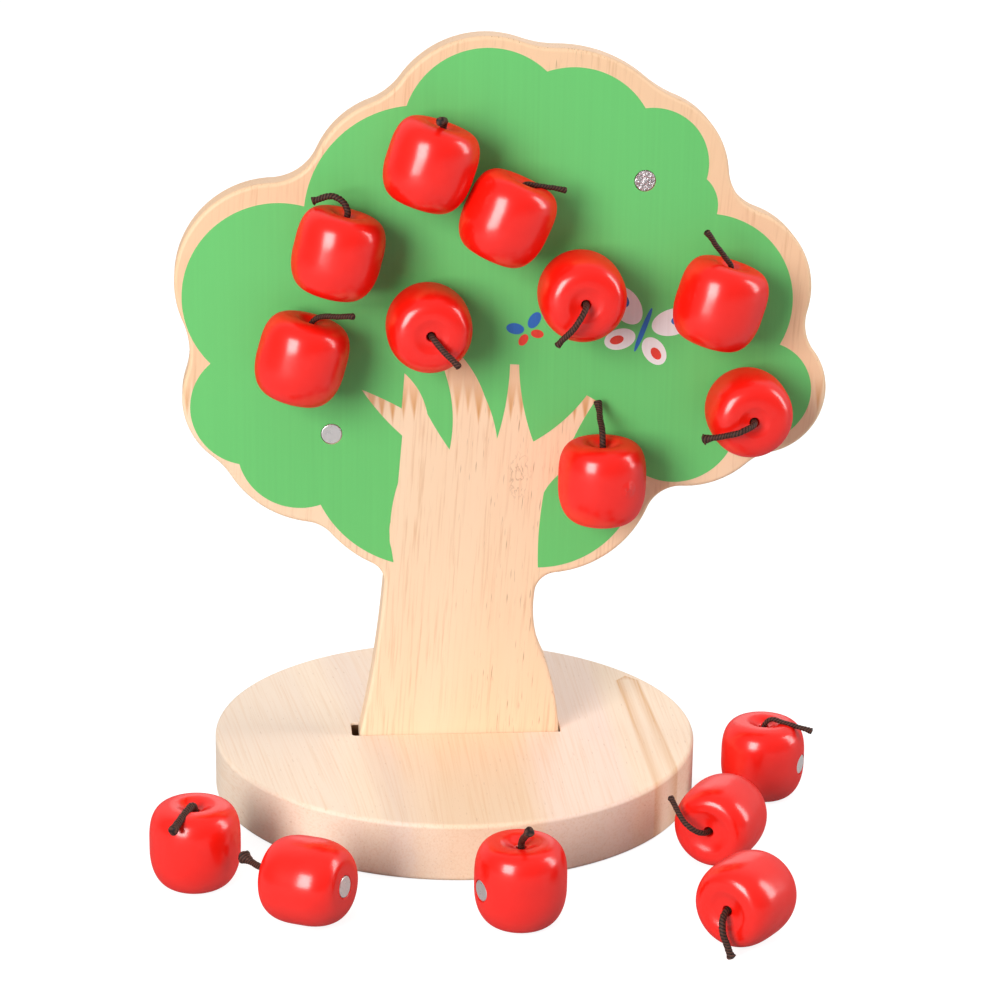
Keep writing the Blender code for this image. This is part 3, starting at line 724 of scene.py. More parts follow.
@dataclass(frozen=True)
class JointedWood:
    """Rubberwood board, finger-jointed across its grain, fine-sanded and left matt.

    The eye sees soft upright grain that leans a little, in cream and apricot, brown pore dashes
    on the right, the long fingers of the joint with brown tips, and a small curl. The pores are
    drawn a few times wider than they are, so that they show.
    """

    name: str = "rubberwood_finger_jointed_fine_sanded"
    cream: str = "#FADEBD"
    apricot: str = "#F9D4AF"
    line: str = "#D09A6C"
    pore: str = "#8E6442"
    roughness: float = 0.55
    lean: float = 3.5
    streak: Triple = (0.8 * MM, 0.8 * MM, 19.231 * MM)
    streak_levels: Pair = (0.50, 0.72)
    band: Triple = (8.333 * MM, 16.67 * MM, 142.86 * MM)
    warm_span: Pair = (-12.0 * MM, 30.0 * MM)
    warm_shares: Pair = (-0.10, 0.35)
    warm_band: float = 0.9
    patch: Triple = (11.11 * MM, 16.67 * MM, 41.67 * MM)
    patch_levels: Pair = (0.35, 0.65)
    patch_depths: Pair = (0.08, 0.44)
    dash: Triple = (0.6667 * MM, 0.6667 * MM, 10.0 * MM)
    dash_levels: Pair = (0.69, 0.78)
    dash_depth: float = 0.66
    dash_left_span: Pair = (-16.0 * MM, 14.0 * MM)
    dash_left_shares: Pair = (-0.10, 0.03)
    dash_right_span: Pair = (40.0 * MM, 60.0 * MM)
    dash_right_shares: Pair = (0.03, -0.06)
    grain_bump: float = 0.08
    grain_relief: float = 0.05 * MM
    finger_tip: str = "#D39552"
    finger_root: str = "#F5CCA4"
    joint_height: float = 145.5 * MM
    finger_pitch: float = 3.9 * MM
    finger_depth: float = 12.0 * MM
    finger_shift: float = 1.0 * MM
    finger_spread: float = 5.0 * MM
    finger_wave: float = 12.0 * MM
    finger_blur: Pair = (-2.4 * MM, 3.2 * MM)
    finger_fade: float = 1.1
    curl_middle: Pair = (22.0 * MM, 122.5 * MM)
    curl_half: Pair = (5.0 * MM, 11.0 * MM)
    curl_bend: float = 1.3
    curl_ring: float = 0.22
    curl_line: float = 0.075
    curl_depth: float = 0.45

    def joint(self, tree: NodeTree, across: NodeSocket,
              up: NodeSocket, bands: NodeSocket,
              tint: NodeSocket) -> NodeSocket:
        """Lay the upper piece of the board, with its fingers pointing down, over a tint.

        Args:
            tree: The material's node tree.
            across: The place across the board.
            up: The place up the board.
            bands: Broad noise that lets the fingers rise and fall.
            tint: The colour of the lower piece.

        Returns:
            The colour with the upper piece in it.
        """
        shifted = add_node(tree, "ShaderNodeMath", {"operation": "ADD", 1: self.finger_shift},
                           {0: across}).outputs[0]
        teeth = add_node(tree, "ShaderNodeMath", {"operation": "PINGPONG",
                                                  1: self.finger_pitch / 2.0},
                         {0: shifted}).outputs[0]
        centred = add_node(tree, "ShaderNodeMath", {"operation": "ADD",
                                                    1: self.finger_pitch / 2.0},
                           {0: shifted}).outputs[0]
        finger = add_node(tree, "ShaderNodeMath", {"operation": "SNAP", 1: self.finger_pitch},
                          {0: centred}).outputs[0]
        own = add_node(tree, "ShaderNodeTexWhiteNoise", {"noise_dimensions": "1D"},
                       {"W": finger}).outputs["Value"]
        lowest = self.joint_height - (self.finger_wave + self.finger_spread) / 2.0
        start = add_node(tree, "ShaderNodeMath", {"operation": "MULTIPLY_ADD",
                                                  1: self.finger_spread, 2: lowest},
                         {0: own}).outputs[0]
        start = add_node(tree, "ShaderNodeMath", {"operation": "MULTIPLY_ADD",
                                                  1: self.finger_wave},
                         {0: bands, 2: start}).outputs[0]
        edge = add_node(tree, "ShaderNodeMath",
                        {"operation": "MULTIPLY_ADD",
                         1: 2.0 * self.finger_depth / self.finger_pitch},
                        {0: teeth, 2: start}).outputs[0]
        over = add_node(tree, "ShaderNodeMath", {"operation": "SUBTRACT"},
                        {0: up, 1: edge}).outputs[0]
        piece = add_node(tree, "ShaderNodeMapRange", {1: self.finger_blur[0],
                                                      2: self.finger_blur[1]},
                         {0: over}).outputs[0]
        fade = add_node(tree, "ShaderNodeMapRange",
                        {1: self.joint_height,
                         2: self.joint_height + self.finger_fade * self.finger_depth},
                        {0: up}).outputs[0]
        upper = add_node(tree, "ShaderNodeMix", {"data_type": "RGBA",
                                                 6: linear(self.finger_tip),
                                                 7: linear(self.finger_root)},
                         {0: fade}).outputs[2]
        return add_node(tree, "ShaderNodeMix", {"data_type": "RGBA"},
                        {0: piece, 6: tint, 7: upper}).outputs[2]

    def curl(self, tree: NodeTree,
             place: NodeSocket) -> NodeSocket:
        """How strongly the thin broken rings of the small curl show.

        Args:
            tree: The material's node tree.
            place: The place in the board.

        Returns:
            From none to the curl's depth.
        """
        (x, z), (wide, tall) = self.curl_middle, self.curl_half
        local = add_node(tree, "ShaderNodeMapping",
                         {"vector_type": "TEXTURE", "Location": (x, 0.0, z),
                          "Scale": (wide, 1.0, tall)}, {"Vector": place}).outputs[0]
        bend = add_node(tree, "ShaderNodeTexNoise", {"Scale": 1.9, "Detail": 3.0,
                                                     "Distortion": 1.2},
                        {"Vector": local}).outputs[0]
        reach = add_node(tree, "ShaderNodeVectorMath", {"operation": "LENGTH"},
                         {0: local}).outputs[1]
        wavy = add_node(tree, "ShaderNodeMath", {"operation": "MULTIPLY_ADD",
                                                 1: self.curl_bend},
                        {0: bend, 2: reach}).outputs[0]
        ring = add_node(tree, "ShaderNodeMath", {"operation": "PINGPONG", 1: self.curl_ring},
                        {0: wavy}).outputs[0]
        thin = add_node(tree, "ShaderNodeMapRange", {1: self.curl_line, 2: 0.0, 3: 0.0,
                                                     4: self.curl_depth}, {0: ring}).outputs[0]
        mask = add_node(tree, "ShaderNodeMapRange", {1: 1.0, 2: 0.5}, {0: reach}).outputs[0]
        return add_node(tree, "ShaderNodeMath", {"operation": "MULTIPLY"},
                        {0: thin, 1: mask}).outputs[0]

    def make(self) -> Material:
        """Build the material.

        Returns:
            The material.
        """
        material, tree, shader = start_material(self.name)
        place = add_node(tree, "ShaderNodeTexCoord").outputs["Object"]
        axes = add_node(tree, "ShaderNodeSeparateXYZ", None, {0: place}).outputs
        leaning = add_node(tree, "ShaderNodeMapping",
                           {"Rotation": (0.0, math.radians(-self.lean), 0.0)},
                           {"Vector": place}).outputs[0]
        streak, band, patch, dash = lay_noise(tree, leaning, (self.streak, 3.0),
                                              (self.band, 2.0), (self.patch, 1.0),
                                              (self.dash, 1.0))
        shares = []
        for source, levels, values in (
                (axes[0], self.warm_span, self.warm_shares),
                (patch, self.patch_levels, self.patch_depths),
                (streak, self.streak_levels, (0.0, 1.0)),
                (axes[0], self.dash_left_span, self.dash_left_shares),
                (axes[0], self.dash_right_span, self.dash_right_shares)):
            shares.append(add_node(tree, "ShaderNodeMapRange",
                                   {1: levels[0], 2: levels[1], 3: values[0], 4: values[1]},
                                   {0: source}).outputs[0])
        warm, depth, lines, left, right = shares
        warm = add_node(tree, "ShaderNodeMath", {"operation": "MULTIPLY_ADD",
                                                 1: self.warm_band},
                        {0: band, 2: warm}).outputs[0]
        tint = add_node(tree, "ShaderNodeMix", {"data_type": "RGBA", 6: linear(self.cream),
                                                7: linear(self.apricot)}, {0: warm}).outputs[2]
        tint = self.joint(tree, axes[0], axes[2], band, tint)
        lines = add_node(tree, "ShaderNodeMath", {"operation": "MULTIPLY"},
                         {0: lines, 1: depth}).outputs[0]
        few = add_node(tree, "ShaderNodeMath", {"operation": "MINIMUM"},
                       {0: left, 1: right}).outputs[0]
        many = add_node(tree, "ShaderNodeMath", {"operation": "ADD"},
                        {0: dash, 1: few}).outputs[0]
        pits = add_node(tree, "ShaderNodeMapRange",
                        {1: self.dash_levels[0], 2: self.dash_levels[1], 3: 0.0,
                         4: self.dash_depth}, {0: many}).outputs[0]
        marks = add_node(tree, "ShaderNodeMath", {"operation": "MAXIMUM"},
                         {0: pits, 1: self.curl(tree, place)}).outputs[0]
        for share, colour in ((lines, self.line), (marks, self.pore)):
            tint = add_node(tree, "ShaderNodeMix", {"data_type": "RGBA", 7: linear(colour)},
                            {0: share, 6: tint}).outputs[2]
        dress(tree, shader, tint, self.roughness, streak, self.grain_bump, self.grain_relief)
        return material


@dataclass(frozen=True)
class PrintedInk:
    """Opaque screen-printed ink on sanded wood, through which the grain tells faintly.

    It gives a flat, even, satin colour with the finest upright lines of the wood below.
    """

    name: str
    colour: str
    worn: str
    roughness: float = 0.42
    streak: Triple = (1.111 * MM, 1.111 * MM, 62.5 * MM)
    cloud: Triple = (71.43 * MM, 71.43 * MM, 71.43 * MM)
    levels: Pair = (0.15, 0.45)
    grain_bump: float = 0.05
    grain_relief: float = 0.02 * MM

    def make(self) -> Material:
        """Build the material.

        Returns:
            The material.
        """
        material, tree, shader = start_material(self.name)
        place = add_node(tree, "ShaderNodeTexCoord").outputs["Object"]
        grain, wide = lay_noise(tree, place, (self.streak, 3.0), (self.cloud, 1.0))
        both = add_node(tree, "ShaderNodeMath", {"operation": "MULTIPLY"},
                        {0: grain, 1: wide}).outputs[0]
        share = add_node(tree, "ShaderNodeMapRange", {1: self.levels[0], 2: self.levels[1]},
                         {0: both}).outputs[0]
        tint = add_node(tree, "ShaderNodeMix", {"data_type": "RGBA", 6: linear(self.colour),
                                                7: linear(self.worn)}, {0: share}).outputs[2]
        dress(tree, shader, tint, self.roughness, grain, self.grain_bump, self.grain_relief)
        return material


@dataclass(frozen=True)
class DippedLacquer:
    """Turned wooden ball dipped in red lacquer.

    The thick satin coat gives an even bright red with soft-edged window reflections, the
    faintest unevenness where it ran, and one small crinkled spot where it dried too fast. It
    scatters grazing light, so its rims mirror less than glass would.
    """

    crinkle_middle: Vector
    name: str = "turned_wood_dipped_red_lacquer"
    colour: str = "#FB1B0C"
    deep: str = "#F2150A"
    roughness: float = 0.45
    index: float = 1.5
    specular: float = 0.05
    top_weight: float = 0.75
    rim_weight: float = 0.15
    rim_levels: Pair = (0.35, 0.75)
    top_roughness: float = 0.22
    top_index: float = 1.7
    run: float = 7.0 * MM
    run_bump: float = 0.2
    run_depth: float = 0.25 * MM
    crinkle: float = 1.4 * MM
    crinkle_half: float = 3.4 * MM
    crinkle_depth: float = 0.9 * MM

    def make(self) -> Material:
        """Build the material.

        Returns:
            The material.
        """
        material, tree, shader = start_material(self.name)
        place = add_node(tree, "ShaderNodeTexCoord").outputs["Object"]
        clouds = add_node(tree, "ShaderNodeTexNoise", {"Scale": 1.0 / self.run, "Detail": 2.0},
                          {"Vector": place}).outputs[0]
        tint = add_node(tree, "ShaderNodeMix", {"data_type": "RGBA", 6: linear(self.colour),
                                                7: linear(self.deep)}, {0: clouds}).outputs[2]
        tree.links.new(tint, shader.inputs["Base Color"])
        facing = add_node(tree, "ShaderNodeLayerWeight", {"Blend": 0.5}).outputs["Facing"]
        weight = add_node(tree, "ShaderNodeMapRange",
                          {1: self.rim_levels[0], 2: self.rim_levels[1], 3: self.top_weight,
                           4: self.rim_weight}, {0: facing}).outputs[0]
        tree.links.new(weight, shader.inputs["Coat Weight"])
        for socket, value in (("Roughness", self.roughness), ("IOR", self.index),
                              ("Specular IOR Level", self.specular),
                              ("Coat IOR", self.top_index),
                              ("Coat Roughness", self.top_roughness)):
            shader.inputs[socket].default_value = value
        runs = add_node(tree, "ShaderNodeTexNoise", {"Scale": 0.5 / self.run, "Detail": 1.0},
                        {"Vector": place}).outputs[0]
        smooth = add_node(tree, "ShaderNodeBump", {"Strength": self.run_bump,
                                                   "Distance": self.run_depth},
                          {"Height": runs}).outputs[0]
        half = self.crinkle_half
        local = add_node(tree, "ShaderNodeMapping",
                         {"vector_type": "TEXTURE", "Location": self.crinkle_middle,
                          "Scale": (half, half, half)}, {"Vector": place}).outputs[0]
        reach = add_node(tree, "ShaderNodeVectorMath", {"operation": "LENGTH"},
                         {0: local}).outputs[1]
        inside = add_node(tree, "ShaderNodeMapRange", {1: 1.0, 2: 0.1}, {0: reach}).outputs[0]
        folds = add_node(tree, "ShaderNodeTexNoise", {"Scale": 1.0 / self.crinkle, "Detail": 2.0,
                                                      "Distortion": 0.8},
                         {"Vector": place}).outputs[0]
        folds = add_node(tree, "ShaderNodeMath", {"operation": "MULTIPLY"},
                         {0: folds, 1: inside}).outputs[0]
        bump = add_node(tree, "ShaderNodeBump", {"Strength": 1.0,
                                                 "Distance": self.crinkle_depth},
                        {"Height": folds, "Normal": smooth}).outputs[0]
        tree.links.new(bump, shader.inputs["Normal"])
        tree.links.new(bump, shader.inputs["Coat Normal"])
        return material


@dataclass(frozen=True)
class WaxedCord:
    """Twisted three-strand cotton cord, dyed dark brown and waxed stiff.

    The wax's greasy grey-brown sheen on the crowns of the strands is painted into the colour, and
    so is the near-black shade in the grooves.
    The fibres are drawn far coarser than they are, so that they show.
    """

    name: str = "twisted_cotton_cord_waxed_brown"
    # crown: the dark brown dye lightened by a painted sheen; groove: near-black painted shade
    crown: str = "#5E382C"
    groove: str = "#160907"
    roughness: float = 0.60
    specular: float = 0.30
    fibre: float = 0.2857 * MM
    levels: Pair = (0.16, 0.52)
    fibre_bump: float = 0.35
    fibre_relief: float = 0.08 * MM

    def make(self) -> Material:
        """Build the material.

        Returns:
            The material.
        """
        material, tree, shader = start_material(self.name)
        relief = add_node(tree, "ShaderNodeAttribute", {"attribute_name": "relief"}).outputs[2]
        place = add_node(tree, "ShaderNodeTexCoord").outputs["Object"]
        fibres = add_node(tree, "ShaderNodeTexNoise", {"Scale": 1.0 / self.fibre, "Detail": 2.0},
                          {"Vector": place}).outputs[0]
        # Painted sheen and shade: high strands take the crown colour, the grooves the near-black
        # one
        share = add_node(tree, "ShaderNodeMath", {"operation": "MULTIPLY"},
                         {0: relief, 1: fibres}).outputs[0]
        share = add_node(tree, "ShaderNodeMapRange", {1: self.levels[0], 2: self.levels[1]},
                         {0: share}).outputs[0]
        tint = add_node(tree, "ShaderNodeMix", {"data_type": "RGBA", 6: linear(self.groove),
                                                7: linear(self.crown)}, {0: share}).outputs[2]
        shader.inputs["Specular IOR Level"].default_value = self.specular
        dress(tree, shader, tint, self.roughness, fibres, self.fibre_bump, self.fibre_relief)
        return material


@dataclass(frozen=True)
class NickelPlate:
    """Pressed magnet disc, nickel plated and barrel polished.

    It gives a satin silver face with a faint mottle; a handled one is dented.
    """

    name: str
    colour: str
    roughness: float
    dents: float
    dent: float = 1.0 * MM
    mottle: float = 1.4286 * MM
    levels: Pair = (0.3, 0.7)
    spread: Pair = (0.7, 1.4)

    def make(self) -> Material:
        """Build the material.

        Returns:
            The material.
        """
        material, tree, shader = start_material(self.name)
        place = add_node(tree, "ShaderNodeTexCoord").outputs["Object"]
        mottle = add_node(tree, "ShaderNodeTexNoise", {"Scale": 1.0 / self.mottle, "Detail": 4.0,
                                                       "Distortion": 0.8},
                          {"Vector": place}).outputs[0]
        rough = add_node(tree, "ShaderNodeMapRange",
                         {1: self.levels[0], 2: self.levels[1],
                          3: self.roughness * self.spread[0],
                          4: self.roughness * self.spread[1]}, {0: mottle}).outputs[0]
        shader.inputs["Base Color"].default_value = linear(self.colour)
        shader.inputs["Metallic"].default_value = 1.0
        tree.links.new(rough, shader.inputs["Roughness"])
        bump = add_node(tree, "ShaderNodeBump", {"Strength": self.dents, "Distance": self.dent},
                        {"Height": mottle})
        tree.links.new(bump.outputs[0], shader.inputs["Normal"])
        return material


@dataclass(frozen=True)
class PaleFloor:
    """Matt white paper sweep: it stays white to the camera and keeps the soft shadows."""

    name: str = "white_paper_sweep"
    colour: str = "#A0A0A0"
    glow: str = WHITE
    roughness: float = 0.9
    lift: float = 0.85
    mirrored_lift: float = 0.25

    def make(self) -> Material:
        """Build the material.

        Returns:
            The material.
        """
        material, tree, shader = start_material(self.name)
        shader.inputs["Base Color"].default_value = linear(self.colour)
        shader.inputs["Roughness"].default_value = self.roughness
        shader.inputs["Specular IOR Level"].default_value = 0.0
        path = add_node(tree, "ShaderNodeLightPath").outputs
        mirrored = add_node(tree, "ShaderNodeMath", {"operation": "MAXIMUM"},
                            {0: path["Is Glossy Ray"],
                             1: path["Is Transmission Ray"]}).outputs[0]
        mirrored = add_node(tree, "ShaderNodeMath", {"operation": "MULTIPLY",
                                                     1: self.mirrored_lift},
                            {0: mirrored}).outputs[0]
        strength = add_node(tree, "ShaderNodeMath", {"operation": "MULTIPLY_ADD", 1: self.lift},
                            {0: path["Is Camera Ray"], 2: mirrored}).outputs[0]
        tree.links.new(strength, shader.inputs["Emission Strength"])
        shader.inputs["Emission Color"].default_value = linear(self.glow)
        return material


@dataclass(frozen=True)
class Palette:
    """Every material of the toy, made once."""

    base_wood: Material
    board_wood: Material
    green: Material
    white: Material
    blue: Material
    red: Material
    lacquer: Material
    cord: Material
    nickel: Material
    worn_nickel: Material

    @classmethod
    def make(cls) -> "Palette":
        """Build all the finishes.

        Returns:
            The palette.
        """
        return cls(
            base_wood=SlabWood().make(),
            board_wood=JointedWood().make(),
            green=PrintedInk("green_screen_ink", "#6ACA70", "#67C56D").make(),
            white=PrintedInk("white_screen_ink", "#F4EFEE", "#ECE5E4").make(),
            blue=PrintedInk("blue_screen_ink", "#2C6CC0", "#2560B0").make(),
            red=PrintedInk("red_screen_ink", "#E8402F", "#DA3626").make(),
            lacquer=DippedLacquer(middle("apple_09_body") + Vector(CRINKLE)).make(),
            cord=WaxedCord().make(),
            nickel=NickelPlate("nickel_plate_satin", "#DEDAD9", 0.34, 0.05).make(),
            worn_nickel=NickelPlate("nickel_plate_dented", "#C4BEC0", 0.26, 1.0).make(),
        )


# Round base
@dataclass
class RoundBase:
    """The round base with rounded rims and the slot for the tree's foot."""

    diameter: float = 180.0 * MM
    thickness: float = 21.5 * MM
    edge_round: float = 1.6 * MM
    rim_steps: int = 8
    slot_depth: float = 15.0 * MM
    slot_left: float = -39.0 * MM
    slot_right: float = 39.5 * MM
    slot_half: float = 6.3 * MM
    corner_left: float = 1.6 * MM
    corner_right: float = 0.6 * MM
    slot_ease: float = 0.35 * MM
    count: int = 288

    def slot_outline(self) -> list[Vector]:
        """Draw the slot seen from above: square at its right end, rounder at its left.

        Returns:
            The outline's points.
        """
        path: list[Vector] = []
        for x, across, along, radius, quarter in (
                (self.slot_right, 1.0, 1.0, self.corner_right, 0),
                (self.slot_left, -1.0, 1.0, self.corner_left, 1),
                (self.slot_left, -1.0, -1.0, self.corner_left, 2),
                (self.slot_right, 1.0, -1.0, self.corner_right, 3)):
            centre = Vector((x - across * radius, along * (self.slot_half - radius)))
            start = quarter * math.pi / 2.0
            path += arc(centre, radius, start, start + math.pi / 2.0)
        return tidy_path(path)

    def build(self, palette: Palette) -> None:
        """Build and dress the base.

        Args:
            palette: The toy's materials.
        """
        skin = Skin()
        outline = circle(Vector((0.0, 0.0)), self.diameter / 2.0, self.count)
        low_rim, high_rim = skin.edge(outline, 0.0, self.thickness, self.edge_round,
                                      self.rim_steps)
        mouth = skin.pocket(self.slot_outline(), self.thickness - self.slot_depth,
                            self.thickness, self.slot_ease)
        skin.fill([high_rim, mouth], self.thickness)
        skin.fill([low_rim], 0.0, up=False)
        mount(skin.to_object("round_base", palette.base_wood), "base", "base_wood", "base_disc")


# Tree board
@dataclass(frozen=True)
class Butterfly:
    """A plain printed butterfly of oval wings.

    A pair of ovals is given by its place across and up, its half length and half width, all in
    shares of the butterfly's size, and its lean in degrees.
    """

    centre: Vector
    size: float
    turn: float
    upper: Oval = (0.29, 0.20, 0.25, 0.155, 35.0)
    lower: Oval = (0.21, -0.19, 0.18, 0.12, -35.0)
    upper_spot: Oval = (0.35, 0.25, 0.10, 0.06, 35.0)
    lower_spot: Oval = (0.24, -0.21, 0.08, 0.05, -35.0)
    body_half: Pair = (0.03, 0.27)

    def pair(self, oval: Oval) -> list[list[Vector]]:
        """Draw an oval and its mirror image on either side of the body.

        Args:
            oval: The right one.

        Returns:
            Both outlines.
        """
        x, z, half_long, half_short, lean = oval
        spin = Matrix.Rotation(self.turn, 2)
        return [ellipse(self.centre + spin @ Vector((side * x, z)) * self.size,
                        half_long * self.size, half_short * self.size,
                        self.turn + side * math.radians(lean)) for side in (1.0, -1.0)]

    def wings(self) -> list[list[Vector]]:
        """All four wings."""
        return self.pair(self.upper) + self.pair(self.lower)

    def body(self) -> list[Vector]:
        """The slim body between the wings."""
        return ellipse(self.centre, self.body_half[0] * self.size,
                       self.body_half[1] * self.size, self.turn)


@dataclass
class TreeBoard:
    """The flat tree: its board, its print and the magnet discs in its face.

    Lobes and the points of the branches lie at shares of the crown's width and height, and radii
    and bows are shares of its width.
    """

    thickness: float = 12.0 * MM
    edge_round: float = 1.5 * MM
    rim_steps: int = 8
    foot_width: float = 75.0 * MM
    foot_offset: float = 1.3 * MM
    foot_corner: float = 1.2 * MM
    waist_left: float = 27.2 * MM
    waist_right: float = 28.6 * MM
    trunk_bow_left: float = 1.1 * MM
    knee_right: float = 33.3 * MM
    knee_height: float = 50.0 * MM
    bow_above_knee: float = 2.0 * MM
    bow_below_knee: float = 1.0 * MM
    neck_left: float = 8.0 * MM
    neck_right: float = 8.3 * MM
    crown_width: float = 237.3 * MM
    crown_height: float = 200.2 * MM
    crown_underside: float = 84.5 * MM
    crown_offset: float = 15.6 * MM
    base_top: float = 21.5 * MM
    foot_bottom: float = 6.8 * MM
    ink: float = 0.08 * MM
    ink_step: float = 0.03 * MM
    pocket_count: int = 48
    magnet_count: int = 11
    worn_magnet: int = 11
    big_butterfly: Triple = (0.213, 0.465, 0.135)
    big_turn: float = -20.0
    small_butterfly: Triple = (0.036, 0.465, 0.055)
    small_turn: float = 24.0
    lobes: tuple[Triple, ...] = (
        (-0.114, 0.231, 0.194), (-0.276, 0.299, 0.164), (-0.372, 0.342, 0.116),
        (-0.344, 0.556, 0.153), (-0.153, 0.721, 0.142), (-0.031, 0.812, 0.156),
        (0.076, 0.729, 0.208), (0.208, 0.743, 0.129), (0.341, 0.536, 0.130),
        (0.399, 0.347, 0.102), (0.289, 0.330, 0.139), (0.072, 0.200, 0.169))
    valleys: tuple[float, ...] = (0.060, 0.118, 0.115, 0.078, 0.102, 0.170, 0.169, 0.075, 0.073,
                                  0.075, 0.055)
    print_lobes: tuple[Triple, ...] = (
        (-0.114, 0.235, 0.183), (-0.309, 0.250, 0.097), (-0.384, 0.327, 0.092),
        (-0.341, 0.530, 0.145), (-0.133, 0.674, 0.170), (-0.030, 0.826, 0.127),
        (0.098, 0.793, 0.126), (0.218, 0.767, 0.087), (0.265, 0.692, 0.056),
        (0.303, 0.514, 0.139), (0.397, 0.346, 0.080), (0.269, 0.288, 0.095),
        (0.061, 0.194, 0.153))
    print_start: Pair = (-0.166, 0.028)
    print_end: Pair = (0.059, 0.013)
    # Bare trunk and branches, right to left: across, up and the bow of the line that ends there
    branches: tuple[Triple, ...] = (
        (0.066, 0.158, 0.003), (0.090, 0.194, 0.002), (0.143, 0.333, 0.005),
        (0.129, 0.343, 0.000), (0.048, 0.256, 0.006), (0.024, 0.402, 0.005),
        (0.010, 0.403, 0.000), (-0.008, 0.263, 0.004), (-0.028, 0.343, -0.0026),
        (-0.060, 0.413, -0.003), (-0.101, 0.465, 0.000), (-0.088, 0.384, -0.002),
        (-0.081, 0.243, 0.0075), (-0.1155, 0.311, 0.001), (-0.151, 0.388, -0.006),
        (-0.155, 0.322, 0.000), (-0.216, 0.358, -0.001), (-0.154, 0.2705, -0.003),
        (-0.160, 0.180, 0.000), (-0.1715, 0.105, -0.002), (-0.1725, 0.080, -0.001),
        (-0.170, 0.055, -0.001))

    def spot(self, across: float, up: float) -> Vector:
        """A place on the crown from its shares across and up."""
        return Vector((self.crown_offset + across * self.crown_width,
                       self.crown_underside + up * self.crown_height))

    def rounds(self, shares: Iterable[Triple]) -> list[tuple[Vector, float]]:
        """Centres and radii of a row of lobes."""
        return [(self.spot(across, up), r * self.crown_width) for across, up, r in shares]

    def neck(self, lobe: tuple[Vector, float], waist: float, radius: float,
             side: float) -> Vector:
        """Find the round that joins a lobe's underside to the side of the trunk.

        Args:
            lobe: Centre and radius of the lobe.
            waist: Where the side of the trunk lies across.
            radius: Radius of the round.
            side: Minus one on the left, one on the right.

        Returns:
            The round's centre.
        """
        across = waist + side * radius
        drop = math.sqrt((lobe[1] + radius) ** 2 - (across - lobe[0].x) ** 2)
        return Vector((across, lobe[0].y - drop))

    def outline(self) -> list[Vector]:
        """Draw the whole board, from the foot's left corner over the crown.

        Returns:
            The outline's points.
        """
        lobes = self.rounds(self.lobes)
        valleys = [share * self.crown_width for share in self.valleys]
        left = self.neck(lobes[0], -self.waist_left, self.neck_left, -1.0)
        right = self.neck(lobes[-1], self.waist_right, self.neck_right, 1.0)
        foot_left = self.foot_offset - self.foot_width / 2.0
        foot_right = self.foot_offset + self.foot_width / 2.0
        corner = Vector((foot_left + self.foot_corner, self.foot_bottom + self.foot_corner))
        path = arc(corner, self.foot_corner, math.pi * 1.5, math.pi)
        path.append(Vector((foot_left, self.base_top)))
        path += bowed(path[-1], Vector((-self.waist_left, left.y)), -self.trunk_bow_left)
        path += arc(left, self.neck_left, 0.0, bearing(left, lobes[0][0]))[1:]
        path += lobed_path(lobes, valleys, left, right)[1:]
        path += arc(right, self.neck_right, bearing(right, lobes[-1][0]), math.pi)[1:]
        knee = Vector((self.knee_right, self.knee_height))
        path += bowed(path[-1], knee, -self.bow_above_knee)
        path += bowed(knee, Vector((foot_right, self.base_top)), self.bow_below_knee)
        corner = Vector((foot_right - self.foot_corner, corner.y))
        path += arc(corner, self.foot_corner, 0.0, -math.pi / 2.0)
        return counter_clockwise(tidy_path(path))

    def print_outline(self) -> list[Vector]:
        """Draw the printed crown, over its lobes and back along the bare trunk and branches.

        Returns:
            The outline's points.
        """
        lobes = self.rounds(self.print_lobes)
        path = lobed_path(lobes, [0.0] * (len(lobes) - 1), self.spot(*self.print_start),
                          self.spot(*self.print_end))
        for across, up, bow in self.branches:
            path += bowed(path[-1], self.spot(across, up), bow * self.crown_width)
        return counter_clockwise(tidy_path(path))

    def upright(self) -> Matrix:
        """Stands a flat outline up so that it faces the front."""
        return Matrix.Rotation(math.pi / 2.0, 4, "X")

    def magnet_spots(self) -> list[Vector]:
        """Find where the magnet discs sit, from their CAD nodes.

        Returns:
            Their middles, across and up.
        """
        spots = []
        for number in range(1, self.magnet_count + 1):
            centre = middle(f"tree_magnet_{number:02d}")
            spots.append(Vector((centre.x, centre.z)))
        return spots

    def build_board(self, palette: Palette, magnets: "MagnetDisc") -> None:
        """Build the board with rounded edges and a pocket for every magnet.

        Args:
            palette: The toy's materials.
            magnets: The disc that the pockets are for.
        """
        skin = Skin()
        front = self.thickness / 2.0
        back_rim, front_rim = skin.edge(self.outline(), -front, front, self.edge_round,
                                        self.rim_steps)
        floor = front + self.ink - magnets.thickness - magnets.fit
        mouths = [skin.pocket(circle(spot, magnets.pocket_radius, self.pocket_count), floor,
                              front, magnets.fit / 2.0) for spot in self.magnet_spots()]
        skin.fill([front_rim, *mouths], front)
        skin.fill([back_rim], -front, up=False)
        mount(skin.to_object("tree_board", palette.board_wood, self.upright()), "tree",
              "board_wood", "tree_panel")

    def print_layer(self, name: str, outlines: Iterable[list[Vector]], level: int,
                    material: Material, holes: Sequence[list[Vector]] = ()) -> None:
        """Lay one ink on the face.

        Args:
            name: The piece's name.
            outlines: Counter-clockwise outlines of the inked places.
            level: How many inks lie below it.
            material: Its finish.
            holes: Outlines of the holes in each inked place.
        """
        skin = Skin()
        low = self.thickness / 2.0 + (self.ink + self.ink_step * (level - 1) if level else 0.0)
        high = self.thickness / 2.0 + self.ink + self.ink_step * level
        for outline in outlines:
            skin.fill([outline, *holes], high)
            skin.edge(outline, low, high)
        mount(skin.to_object(name, material, self.upright()), "tree", "board_wood")

